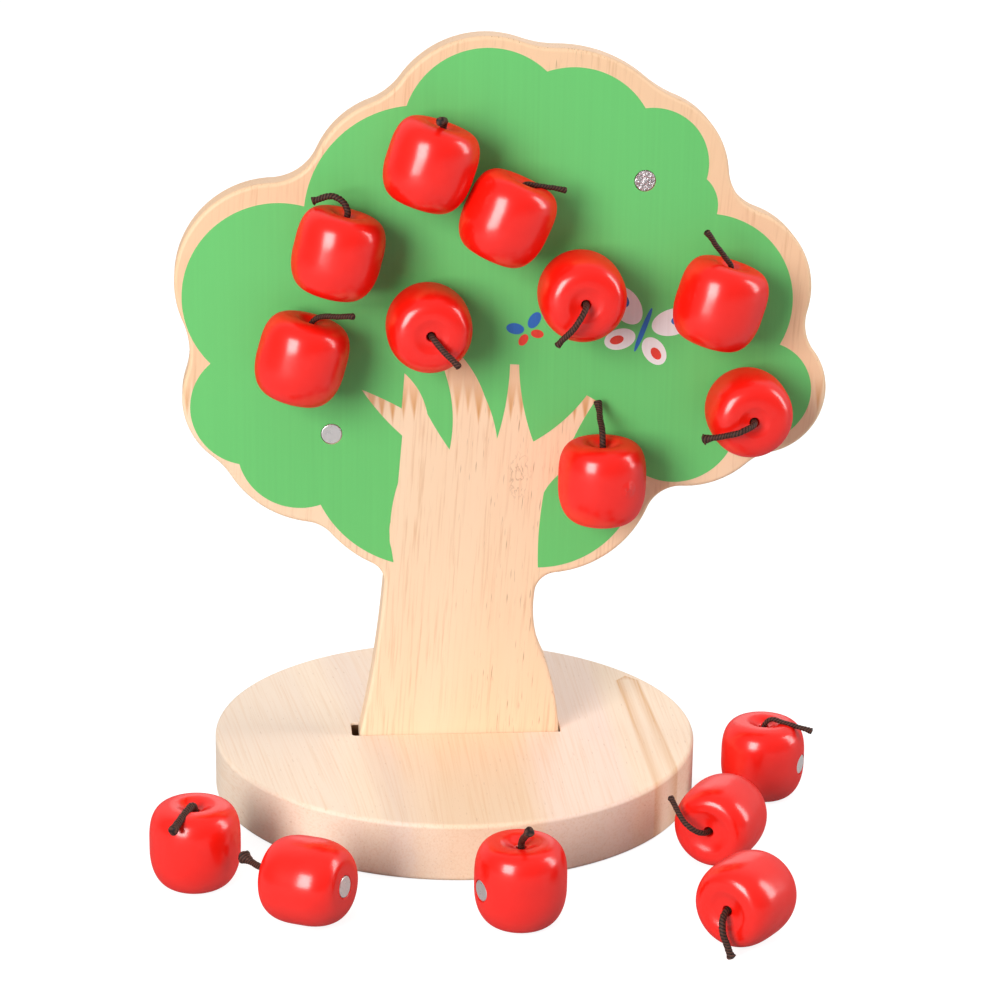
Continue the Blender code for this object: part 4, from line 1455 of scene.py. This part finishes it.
    def build(self, palette: Palette, magnets: "MagnetDisc") -> None:
        """Build and dress the board, its print and its magnets.

        Args:
            palette: The toy's materials.
            magnets: The disc that the board holds eleven of.
        """
        self.build_board(palette, magnets)
        holes = [circle(spot, magnets.pocket_radius, self.pocket_count)
                 for spot in self.magnet_spots()]
        self.print_layer("tree_print_green", [self.print_outline()], 0, palette.green, holes)
        big, small = (Butterfly(self.spot(across, up), size * self.crown_width,
                                math.radians(turn))
                      for (across, up, size), turn in ((self.big_butterfly, self.big_turn),
                                                       (self.small_butterfly, self.small_turn)))
        self.print_layer("tree_print_white", big.wings(), 1, palette.white)
        self.print_layer("tree_print_blue", [*big.pair(big.upper_spot), big.body(),
                                             *small.pair(small.upper)], 2, palette.blue)
        self.print_layer("tree_print_red", [*big.pair(big.lower_spot),
                                            *small.pair(small.lower)], 2, palette.red)
        for number in range(1, self.magnet_count + 1):
            node = f"tree_magnet_{number:02d}"
            worn = number == self.worn_magnet
            disc = magnets.make(node + "_disc", middle(node), Vector((0.0, -1.0, 0.0)),
                                palette.worn_nickel if worn else palette.nickel)
            mount(disc, "tree", "magnet_nickel", node)


# Magnets
@dataclass
class MagnetDisc:
    """A small pressed disc magnet with eased rims."""

    diameter: float = 7.5 * MM
    thickness: float = 3.0 * MM
    fit: float = 0.15 * MM
    rim_round: float = 0.35 * MM
    rim_steps: int = 5
    count: int = 72

    @property
    def pocket_radius(self) -> float:
        """Radius of the hole that the disc is glued into."""
        return self.diameter / 2.0 + self.fit

    def make(self, name: str, centre: Vector, facing: Vector, material: Material) -> Object:
        """Build a disc.

        Args:
            name: The piece's name.
            centre: Its middle.
            facing: The way that its face looks.
            material: Its finish.

        Returns:
            The piece.
        """
        skin = Skin()
        half = self.thickness / 2.0
        outline = circle(Vector((0.0, 0.0)), self.diameter / 2.0, self.count)
        low_rim, high_rim = skin.edge(outline, -half, half, self.rim_round, self.rim_steps)
        skin.fill([high_rim], half)
        skin.fill([low_rim], -half, up=False)
        turn = facing.to_track_quat("Z", "Y").to_matrix().to_4x4()
        return skin.to_object(name, material, Matrix.Translation(centre) @ turn)


# Apples
class Seat(Enum):
    """Where an apple's magnet disc is let in."""

    SIDE = "side"
    BOTTOM = "bottom"


class Pose(Enum):
    """How an apple is held."""

    HANGING = "hanging"
    STANDING = "standing"
    LYING = "lying"


@dataclass(frozen=True)
class Stem:
    """A cord stem's path, in degrees about the apple's axis and in shares of its diameter."""

    bearing: float
    bend: float
    rise: float
    round: float
    tail: float
    swell: float = 1.15
    girth: float = 1.0


@dataclass(frozen=True)
class Cord:
    """The twisted cord that every stem is cut from, with its fuzz and its swollen cut end.

    Depths of the grooves and the fuzz are shares of the cord's radius.
    """

    diameter: float = 2.4 * MM
    strands: int = 3
    pitch: float = 3.3 * MM
    count: int = 36
    step: float = 0.22 * MM
    groove: float = 0.20
    crown_power: float = 0.7
    fuzz: float = 0.12
    fuzz_size: float = 0.7 * MM
    fuzz_round: float = 0.98 * MM
    fuzz_gap: float = 4.9 * MM
    glued: float = 3.0 * MM
    wander: float = 0.35 * MM
    wander_size: float = 6.0 * MM
    wander_gap: float = 9.0 * MM
    free_below: float = 1.0 * MM
    free_length: float = 5.0 * MM
    flare_share: float = 0.35
    flare_power: float = 1.8
    end_round: float = 0.5 * MM
    end_narrowing: float = 0.30
    end_tip: float = 0.1 * MM
    # How far the cut end's tip takes the painted sheen of the crowns rather than the painted shade
    # of the grooves
    end_relief: float = 0.2

    def crown(self, angle: float, along: float, start: float) -> float:
        """How high a strand stands, from none in a groove to one on a crown.

        Args:
            angle: The angle round the cord.
            along: How far along the cord.
            start: The angle at which the strands start.

        Returns:
            The height.
        """
        twist = 2.0 * math.pi * along / self.pitch
        return abs(math.cos(self.strands * (angle + twist) / 2.0 + start))

    def radius(self, point: Vector, angle: float, crown: float, number: int) -> float:
        """Work out the cord's radius at a place on its skin.

        Args:
            point: The middle of the cord there.
            angle: The angle round the cord.
            crown: How high the strand stands there.
            number: The apple's number, which gives each cord its own fuzz.

        Returns:
            The radius.
        """
        seed = point + Vector((math.cos(angle) * self.fuzz_round,
                               math.sin(angle) * self.fuzz_round, number * self.fuzz_gap))
        rough = noise.noise(seed / self.fuzz_size)
        return self.diameter / 2.0 * (1.0 - self.groove + self.groove * crown ** self.crown_power
                                      + self.fuzz * rough)

    def girth(self, left: float, tail: float, swell: float) -> float:
        """How thick the cord is near its cut end, as a share of its own thickness.

        Args:
            left: How much cord is still to come.
            tail: Length of the cord's straight end.
            swell: How thick the cut end is.

        Returns:
            The share.
        """
        near = max(0.0, 1.0 - left / (self.flare_share * tail))
        end = max(0.0, 1.0 - left / self.end_round)
        narrowing = self.end_narrowing * (1.0 - math.sqrt(max(0.0, 1.0 - end ** 2)))
        return (1.0 + (swell - 1.0) * near ** self.flare_power) * (1.0 - narrowing)


@dataclass
class Apple:
    """One turned apple with its cord stem and its magnet disc."""

    number: int
    pose: Pose
    seat: Seat
    turn: float
    stem: Stem
    crest_share: float = 0.47
    dimple_depth: float = 2.4 * MM
    root_depth: float = 2.8 * MM
    diameter: float = 31.8 * MM
    height: float = 30.0 * MM
    bottom_ring_share: float = 0.47
    shoulder_share: float = 0.13
    hip_share: float = -0.07
    top_fullness: float = 2.7
    bottom_fullness: float = 2.2
    hole_radius: float = 1.6 * MM
    hole_depth: float = 8.0 * MM
    hole_lip: float = 0.4 * MM
    lip: float = 0.3 * MM
    dimple_steps: int = 22
    corner_steps: int = 26
    segments: int = 96
    pocket_reach: float = 8.0 * MM
    pocket_count: int = 64
    sharp_angle: float = 38.0
    dish: float = 0.85
    size: float = 1.0
    swing: float = 0.0
    tilt: float = 0.0
    cord: Cord = Cord()

    @property
    def name(self) -> str:
        """The apple's name, which is its body's too."""
        return f"apple_{self.number:02d}"

    def rotation(self) -> Matrix:
        """Work out how the apple is turned from standing upright at the origin.

        Returns:
            The turn.
        """
        tipped = (self.pose is Pose.LYING
                  or (self.pose is Pose.HANGING and self.seat is Seat.BOTTOM))
        axis = "Y" if self.pose is Pose.HANGING else "Z"
        tip = Matrix.Rotation(math.pi / 2.0 if tipped else 0.0, 4, "X")
        return Matrix.Rotation(math.radians(self.turn), 4, axis) @ tip

    def disc_offset(self, disc: MagnetDisc) -> Vector:
        """Find the magnet's middle in the apple's own frame.

        Args:
            disc: The apple's magnet.

        Returns:
            The middle.
        """
        if self.seat is Seat.BOTTOM:
            return Vector((0.0, 0.0, (disc.thickness - self.height) / 2.0))
        reach = math.sqrt((self.diameter / 2.0) ** 2 - (disc.diameter / 2.0) ** 2)
        return Vector((0.0, reach - disc.thickness / 2.0, 0.0))

    def corner(self, fullness: float) -> list[Pair]:
        """Shares across and up along a rounded corner, from its top end to its side end."""
        return [(math.sin(a) ** (2.0 / fullness), max(0.0, math.cos(a)) ** (2.0 / fullness))
                for a in quarter_turn(self.corner_steps)]

    def profile(self, disc: MagnetDisc) -> list[Pair]:
        """Draw the half profile from inside the stem's hole to the middle of the underside.

        Args:
            disc: The apple's magnet.

        Returns:
            Its points, out from the axis and up.
        """
        radius, half = self.diameter / 2.0, self.height / 2.0
        crest = self.crest_share * radius
        floor = half - self.dimple_depth
        points = [(0.0, floor - self.hole_depth), (self.hole_radius, floor - self.hole_depth),
                  (self.hole_radius, floor - self.hole_lip)]
        mouth = self.hole_radius + self.lip
        for i in range(self.dimple_steps + 1):
            share = i / self.dimple_steps
            fall = self.dimple_depth * (1.0 + math.cos(math.pi * share ** self.dish)) / 2.0
            points.append((mouth + (crest - mouth) * share, half - fall))
        shoulder = self.shoulder_share * half
        for across, up in self.corner(self.top_fullness)[1:]:
            points.append((crest + (radius - crest) * across,
                           shoulder + (half - shoulder) * up))
        ring = self.bottom_ring_share * radius
        hip = self.hip_share * half
        for across, up in self.corner(self.bottom_fullness)[::-1]:
            points.append((ring + (radius - ring) * across, hip - (half + hip) * up))
        if self.seat is Seat.BOTTOM:
            pocket = disc.pocket_radius
            roof = disc.thickness + 2.0 * disc.fit - half
            points += [(pocket + self.lip, -half), (pocket, self.lip - half), (pocket, roof),
                       (0.0, roof)]
        else:
            points.append((0.0, -half))
        return points

    def body_mesh(self, disc: MagnetDisc) -> Mesh:
        """Turn the profile round the apple's axis, and cut the pocket of a side disc.

        Args:
            disc: The apple's magnet.

        Returns:
            The mesh, in the apple's own frame.
        """
        points: list[Vector] = []
        faces: list[tuple[int, ...]] = []
        rings: list[list[int]] = []
        for across, up in self.profile(disc):
            start = len(points)
            count = 1 if across == 0.0 else self.segments
            for i in range(count):
                angle = 2.0 * math.pi * i / self.segments
                points.append(Vector((across * math.cos(angle), across * math.sin(angle), up)))
            rings.append([start + i % count for i in range(self.segments)])
        for upper, lower in zip(rings, rings[1:]):
            for i in range(self.segments):
                j = (i + 1) % self.segments
                corners = dict.fromkeys((upper[i], lower[i], lower[j], upper[j]))
                faces.append(tuple(corners))
        mesh = bpy.data.meshes.new(self.name + "_skin")
        mesh.from_pydata(points, [], faces)
        if self.seat is Seat.SIDE:
            mesh = self.cut_pocket(mesh, disc)
        mesh.shade_smooth()
        mesh.set_sharp_from_angle(angle=math.radians(self.sharp_angle))
        return mesh

    def cut_pocket(self, mesh: Mesh, disc: MagnetDisc) -> Mesh:
        """Sink a round pocket into the apple's side.

        Args:
            mesh: The whole apple, in its own frame.
            disc: The apple's magnet.

        Returns:
            A new mesh with the pocket in it.
        """
        skin = Skin()
        outline = circle(Vector((0.0, 0.0)), disc.pocket_radius, self.pocket_count)
        low_rim, high_rim = skin.edge(outline, 0.0, self.pocket_reach)
        skin.fill([high_rim], self.pocket_reach)
        skin.fill([low_rim], 0.0, up=False)
        tool = bpy.data.meshes.new("pocket_tool")
        inner = self.disc_offset(disc).y - disc.thickness / 2.0 - disc.fit
        place = (Matrix.Translation((0.0, inner, 0.0))
                 @ Matrix.Rotation(-math.pi / 2.0, 4, "X"))
        tool.from_pydata([place @ p for p in skin.points], [], skin.faces)
        made = [bpy.data.objects.new(part.name, part) for part in (mesh, tool)]
        for item in made:
            bpy.context.scene.collection.objects.link(item)
        weld = made[1].modifiers.new("weld", "WELD")
        weld.merge_threshold = 0.001 * MM
        step = made[0].modifiers.new("pocket", "BOOLEAN")
        step.operation, step.solver, step.object = "DIFFERENCE", "EXACT", made[1]
        graph = bpy.context.evaluated_depsgraph_get()
        cut = bpy.data.meshes.new_from_object(made[0].evaluated_get(graph))
        for item in made:
            bpy.data.objects.remove(item)
        return cut

    def stem_path(self) -> list[tuple[Vector, float]]:
        """Lay the cord's middle line from inside its hole through its bend to its cut end.

        Returns:
            Points in the apple's own frame, with how far along the cord they are.
        """
        stem, cord = self.stem, self.cord
        top = self.height / 2.0 - self.root_depth
        rise, bow, tail = (share * self.diameter for share in (stem.rise, stem.round, stem.tail))
        bend = math.radians(stem.bend)
        flat: list[Pair] = []
        for i in range(math.ceil((cord.glued + rise) / cord.step)):
            flat.append((0.0, top - cord.glued + cord.step * i))
        count = math.ceil(bow * bend / cord.step)
        for i in range(count + 1):
            angle = bend * i / count
            flat.append((bow * (1.0 - math.cos(angle)), top + rise + bow * math.sin(angle)))
        out, up = flat[-1]
        count = math.ceil(tail / cord.step)
        for i in range(1, count + 1):
            reach = tail * i / count
            flat.append((out + reach * math.sin(bend), up + reach * math.cos(bend)))
        aim = math.radians(stem.bearing)
        path: list[tuple[Vector, float]] = []
        along = 0.0
        for x, z in flat:
            point = Vector((x * math.cos(aim), x * math.sin(aim), z))
            free = min(1.0, max(0.0, z - top + cord.free_below, x) / cord.free_length)
            seed = Vector((x, z, self.number * cord.wander_gap)) / cord.wander_size
            point += noise.noise_vector(seed) * (cord.wander * free)
            if path:
                along += (point - path[-1][0]).length
            path.append((point, along))
        return path

    def stem_mesh(self) -> Mesh:
        """Lay twisted strands round the stem's path, swelling to a cut end.

        Returns:
            The mesh, in the apple's own frame.
        """
        cord = self.cord
        path = self.stem_path()
        total = path[-1][1]
        points: list[Vector] = []
        relief: list[float] = []
        faces: list[tuple[int, ...]] = []
        side = Vector((0.0, 1.0, 0.0))
        last_ring: list[int] = []
        for index, (point, along) in enumerate(path):
            before, after = path[max(0, index - 1)][0], path[min(len(path) - 1, index + 1)][0]
            way = (after - before).normalized()
            side = (side - way * side.dot(way)).normalized()
            third = way.cross(side)
            girth = self.stem.girth * cord.girth(total - along, self.stem.tail * self.diameter,
                                                 self.stem.swell)
            ring = []
            for k in range(cord.count):
                angle = 2.0 * math.pi * k / cord.count
                crown = cord.crown(angle, along, self.number)
                radius = girth * cord.radius(point, angle, crown, self.number)
                ring.append(len(points))
                points.append(point + (side * math.cos(angle) + third * math.sin(angle))
                              * radius)
                relief.append(crown)
            for k in range(cord.count if last_ring else 0):
                m = (k + 1) % cord.count
                faces.append((last_ring[k], last_ring[m], ring[m], ring[k]))
            last_ring = ring
        points.append(path[-1][0] + (path[-1][0] - path[-2][0]).normalized() * cord.end_tip)
        relief.append(cord.end_relief)
        for k in range(cord.count):
            faces.append((last_ring[k], last_ring[(k + 1) % cord.count], len(points) - 1))
        mesh = bpy.data.meshes.new(self.name + "_cord")
        mesh.from_pydata(points, [], faces)
        # The relief attribute steers the cord's painted sheen and shade in its material
        mesh.attributes.new("relief", "FLOAT", "POINT").data.foreach_set("value", relief)
        mesh.shade_smooth()
        return mesh

    def build(self, palette: Palette, disc: MagnetDisc) -> None:
        """Build the apple where its CAD nodes are, and dress it.

        A hanging apple keeps the place of its magnet, and a loose one that of its own middle.

        Args:
            palette: The toy's materials.
            disc: The apple's magnet.
        """
        magnet = middle(self.name + "_magnet")
        turn = self.rotation()
        centre = magnet - turn @ self.disc_offset(disc)
        turn = (Matrix.Rotation(math.radians(self.swing), 4, "Z") @ turn
                @ Matrix.Rotation(math.radians(self.tilt), 4, "X"))
        self.diameter, self.height = self.diameter * self.size, self.height * self.size
        if self.pose is Pose.HANGING:
            centre = magnet - turn @ self.disc_offset(disc)
        body = self.body_mesh(disc)
        body.transform(turn)
        if self.pose is not Pose.HANGING:
            centre.z = -min(vertex.co.z for vertex in body.vertices)
        body.transform(Matrix.Translation(centre))
        mount(show(self.name + "_turned_body", body, palette.lacquer), self.name,
              "apple_lacquer", self.name + "_body")
        cord = self.stem_mesh()
        cord.transform(Matrix.Translation(centre) @ turn)
        mount(show(self.name + "_cord_stem", cord, palette.cord), self.name, "waxed_cord",
              self.name + "_stem")
        offset = turn @ self.disc_offset(disc)
        piece = disc.make(self.name + "_disc", centre + offset, offset, palette.nickel)
        seat = self.name + "_seat" if self.pose is Pose.HANGING else self.name
        mount(piece, seat, "magnet_nickel", self.name + "_magnet")


@dataclass
class Harvest:
    """All fifteen apples: nine on the tree and six on the table."""

    apples: tuple[Apple, ...] = (
        Apple(1, Pose.HANGING, Seat.SIDE, 18.0, Stem(256.0, 84.0, 0.0, 0.16, 0.32, 1.4),
              size=0.99),
        Apple(2, Pose.HANGING, Seat.SIDE, 24.0, Stem(12.0, 79.0, 0.0, 0.08, 0.45, 1.3, 0.8),
              size=0.985),
        Apple(3, Pose.HANGING, Seat.SIDE, 14.0, Stem(170.0, 122.0, 0.05, 0.18, 0.17, 1.6),
              size=0.99),
        Apple(4, Pose.HANGING, Seat.SIDE, 15.0, Stem(318.0, 69.0, 0.0, 0.17, 0.46, 1.2, 0.85),
              0.42, 2.0 * MM),
        Apple(5, Pose.HANGING, Seat.BOTTOM, 0.0, Stem(316.0, 56.0, 0.0, 0.15, 0.42, 1.2, 0.95),
              0.44, 0.7 * MM, dish=1.5, size=0.96),
        Apple(6, Pose.HANGING, Seat.BOTTOM, 0.0, Stem(234.0, 108.0, 0.05, 0.22, 0.28, 1.2, 0.95),
              0.44, 0.8 * MM, dish=1.5, size=0.98),
        Apple(7, Pose.HANGING, Seat.SIDE, 16.0, Stem(201.0, 56.0, 0.0, 0.13, 0.50, 1.3, 0.85)),
        Apple(8, Pose.HANGING, Seat.BOTTOM, 0.0, Stem(199.0, 118.0, 0.05, 0.20, 0.38, 2.0, 0.95),
              0.40, 0.7 * MM, dish=1.5, size=0.965),
        Apple(9, Pose.HANGING, Seat.SIDE, 0.0, Stem(92.0, 54.0, 0.05, 0.15, 0.45, 1.4),
              0.49, 2.8 * MM),
        Apple(10, Pose.STANDING, Seat.SIDE, 0.0, Stem(248.0, 96.0, 0.0, 0.09, 0.54, 1.3, 1.2)),
        Apple(11, Pose.LYING, Seat.BOTTOM, -121.5, Stem(167.0, 26.0, 0.05, 0.22, 0.52, 2.3),
              size=0.95, tilt=4.0),
        Apple(12, Pose.STANDING, Seat.SIDE, 124.0, Stem(160.0, 56.0, 0.0, 0.17, 0.48, 1.6),
              0.49, 2.2 * MM, swing=-9.5),
        Apple(13, Pose.STANDING, Seat.SIDE, -107.5, Stem(92.5, 100.0, 0.0, 0.13, 0.46, 1.4, 0.78),
              0.45, 2.0 * MM, size=0.975, swing=-12.0),
        Apple(14, Pose.LYING, Seat.BOTTOM, -21.2, Stem(144.0, 122.0, 0.03, 0.24, 0.28, 1.3, 0.85),
              0.56, 1.0 * MM, dish=1.6, size=0.95, swing=-9.0),
        Apple(15, Pose.LYING, Seat.BOTTOM, -34.1, Stem(291.0, 98.0, 0.03, 0.22, 0.24, 1.6),
              0.52, 1.1 * MM, dish=1.6, size=0.95, swing=-6.5))

    def build(self, palette: Palette, disc: MagnetDisc) -> None:
        """Build every apple."""
        for apple in self.apples:
            apple.build(palette, disc)


# Studio
def direction(azimuth: float, elevation: float) -> Vector:
    """Work out the way to something that stands round the toy.

    Args:
        azimuth: Its bearing in degrees, from the front towards the right.
        elevation: Its height in degrees.

    Returns:
        The way there, of length one.
    """
    a, e = math.radians(azimuth), math.radians(elevation)
    return Vector((math.sin(a) * math.cos(e), -math.cos(a) * math.cos(e), math.sin(e)))


@dataclass(frozen=True)
class SoftBox:
    """A rectangular soft light, by its bearing and height seen from the toy."""

    name: str
    azimuth: float
    elevation: float
    distance: float
    width: float
    height: float
    power: float
    colour: str = WHITE

    def hang(self, target: Vector) -> None:
        """Hang the light so that it looks at the target.

        Args:
            target: The place that it looks at.
        """
        light = bpy.data.lights.new(self.name, "AREA")
        light.shape = "RECTANGLE"
        light.size, light.size_y = self.width, self.height
        light.energy = self.power
        light.color = linear(self.colour)[:3]
        away = direction(self.azimuth, self.elevation)
        item = bpy.data.objects.new(self.name, light)
        item.location = target + away * self.distance
        item.rotation_mode = "QUATERNION"
        item.rotation_quaternion = away.to_track_quat("Z", "Y")
        bpy.context.scene.collection.objects.link(item)


@dataclass
class Studio:
    """The white floor, the soft lights and the camera."""

    azimuth: float = -5.5
    elevation: float = 18.23
    roll: float = 0.928
    distance: float = 1.125
    lens: float = 109.96
    sensor: float = 36.0
    target: Triple = (15.57 * MM, -1.5 * MM, 112.0 * MM)
    floor_radius: float = 14.0
    floor_count: int = 64
    sky: float = 0.02
    overhead: float = 0.93
    room: float = 0.30
    room_slant: float = 0.2
    room_reach: float = 0.7
    boxes: tuple[SoftBox, ...] = (
        SoftBox("key_box", -36.0, 18.0, 1.5, 0.64, 0.80, 20.5),
        SoftBox("side_box", 84.0, 23.0, 1.6, 0.46, 1.10, 12.0),
        SoftBox("back_box", 172.0, 18.0, 1.8, 0.90, 0.90, 3.5),
    )

    def build_floor(self) -> None:
        """Lay the plain white floor."""
        mesh = bpy.data.meshes.new("floor_sweep")
        rim = circle(Vector((0.0, 0.0)), self.floor_radius, self.floor_count)
        mesh.from_pydata([Vector((p.x, p.y, 0.0)) for p in rim], [],
                         [tuple(range(self.floor_count))])
        show("floor_sweep", mesh, PaleFloor().make())

    def build_world(self) -> None:
        """Light all round from a sky that grows brighter overhead.

        The camera and reflections see white behind the toy; towards the viewer's side of the
        room reflections get dimmer.
        """
        world = bpy.data.worlds.new("studio_room")
        world.use_nodes = True
        tree = world.node_tree
        way = add_node(tree, "ShaderNodeTexCoord").outputs["Generated"]
        axes = add_node(tree, "ShaderNodeSeparateXYZ", None, {0: way}).outputs
        above = add_node(tree, "ShaderNodeMath", {"operation": "MULTIPLY"},
                         {0: axes[2], 1: axes[2]}).outputs[0]
        soft = add_node(tree, "ShaderNodeMapRange", {1: 0.0, 2: 1.0, 3: self.sky,
                                                     4: self.sky + self.overhead},
                        {0: above}).outputs[0]
        side = add_node(tree, "ShaderNodeMath", {"operation": "MULTIPLY_ADD",
                                                 1: self.room_slant},
                        {0: axes[0], 2: axes[1]}).outputs[0]
        room = add_node(tree, "ShaderNodeMapRange", {1: 0.0, 2: self.room_reach, 3: self.room,
                                                     4: 1.0}, {0: side}).outputs[0]
        path = add_node(tree, "ShaderNodeLightPath").outputs
        seen = add_node(tree, "ShaderNodeMath", {"operation": "MAXIMUM"},
                        {0: path["Is Glossy Ray"], 1: path["Is Transmission Ray"]}).outputs[0]
        mirrored = add_node(tree, "ShaderNodeMix", {"data_type": "FLOAT"},
                            {0: seen, 2: soft, 3: room}).outputs[0]
        strength = add_node(tree, "ShaderNodeMath", {"operation": "MAXIMUM"},
                            {0: mirrored, 1: path["Is Camera Ray"]}).outputs[0]
        backdrop = tree.nodes["Background"]
        backdrop.inputs["Color"].default_value = linear(WHITE)
        tree.links.new(strength, backdrop.inputs["Strength"])
        bpy.context.scene.world = world

    def build_camera(self) -> None:
        """Stand the camera where the photograph was taken from."""
        azimuth, roll = math.radians(self.azimuth), math.radians(self.roll)
        back = direction(self.azimuth, self.elevation)
        right = Vector((math.cos(azimuth), math.sin(azimuth), 0.0))
        tilted = right * math.cos(roll) + back.cross(right) * math.sin(roll)
        data = bpy.data.cameras.new("photo_camera")
        data.lens, data.sensor_width = self.lens, self.sensor
        item = bpy.data.objects.new("photo_camera", data)
        turn = Matrix((tilted, back.cross(tilted), back)).transposed()
        item.matrix_world = (Matrix.Translation(Vector(self.target) + back * self.distance)
                             @ turn.to_4x4())
        bpy.context.scene.collection.objects.link(item)
        bpy.context.scene.camera = item

    def build(self) -> None:
        """Set up the whole studio."""
        self.build_floor()
        self.build_world()
        self.build_camera()
        for box in self.boxes:
            box.hang(Vector(self.target))
        bpy.context.scene.view_settings.view_transform = "Standard"


def main() -> None:
    """Build the toy and its studio."""
    logging.basicConfig(level=logging.INFO, format="%(message)s")
    noise.seed_set(WANDER_SEED)
    palette = Palette.make()
    disc = MagnetDisc()
    RoundBase().build(palette)
    TreeBoard().build(palette, disc)
    Harvest().build(palette, disc)
    Studio().build()


if __name__ == "__main__":
    main()
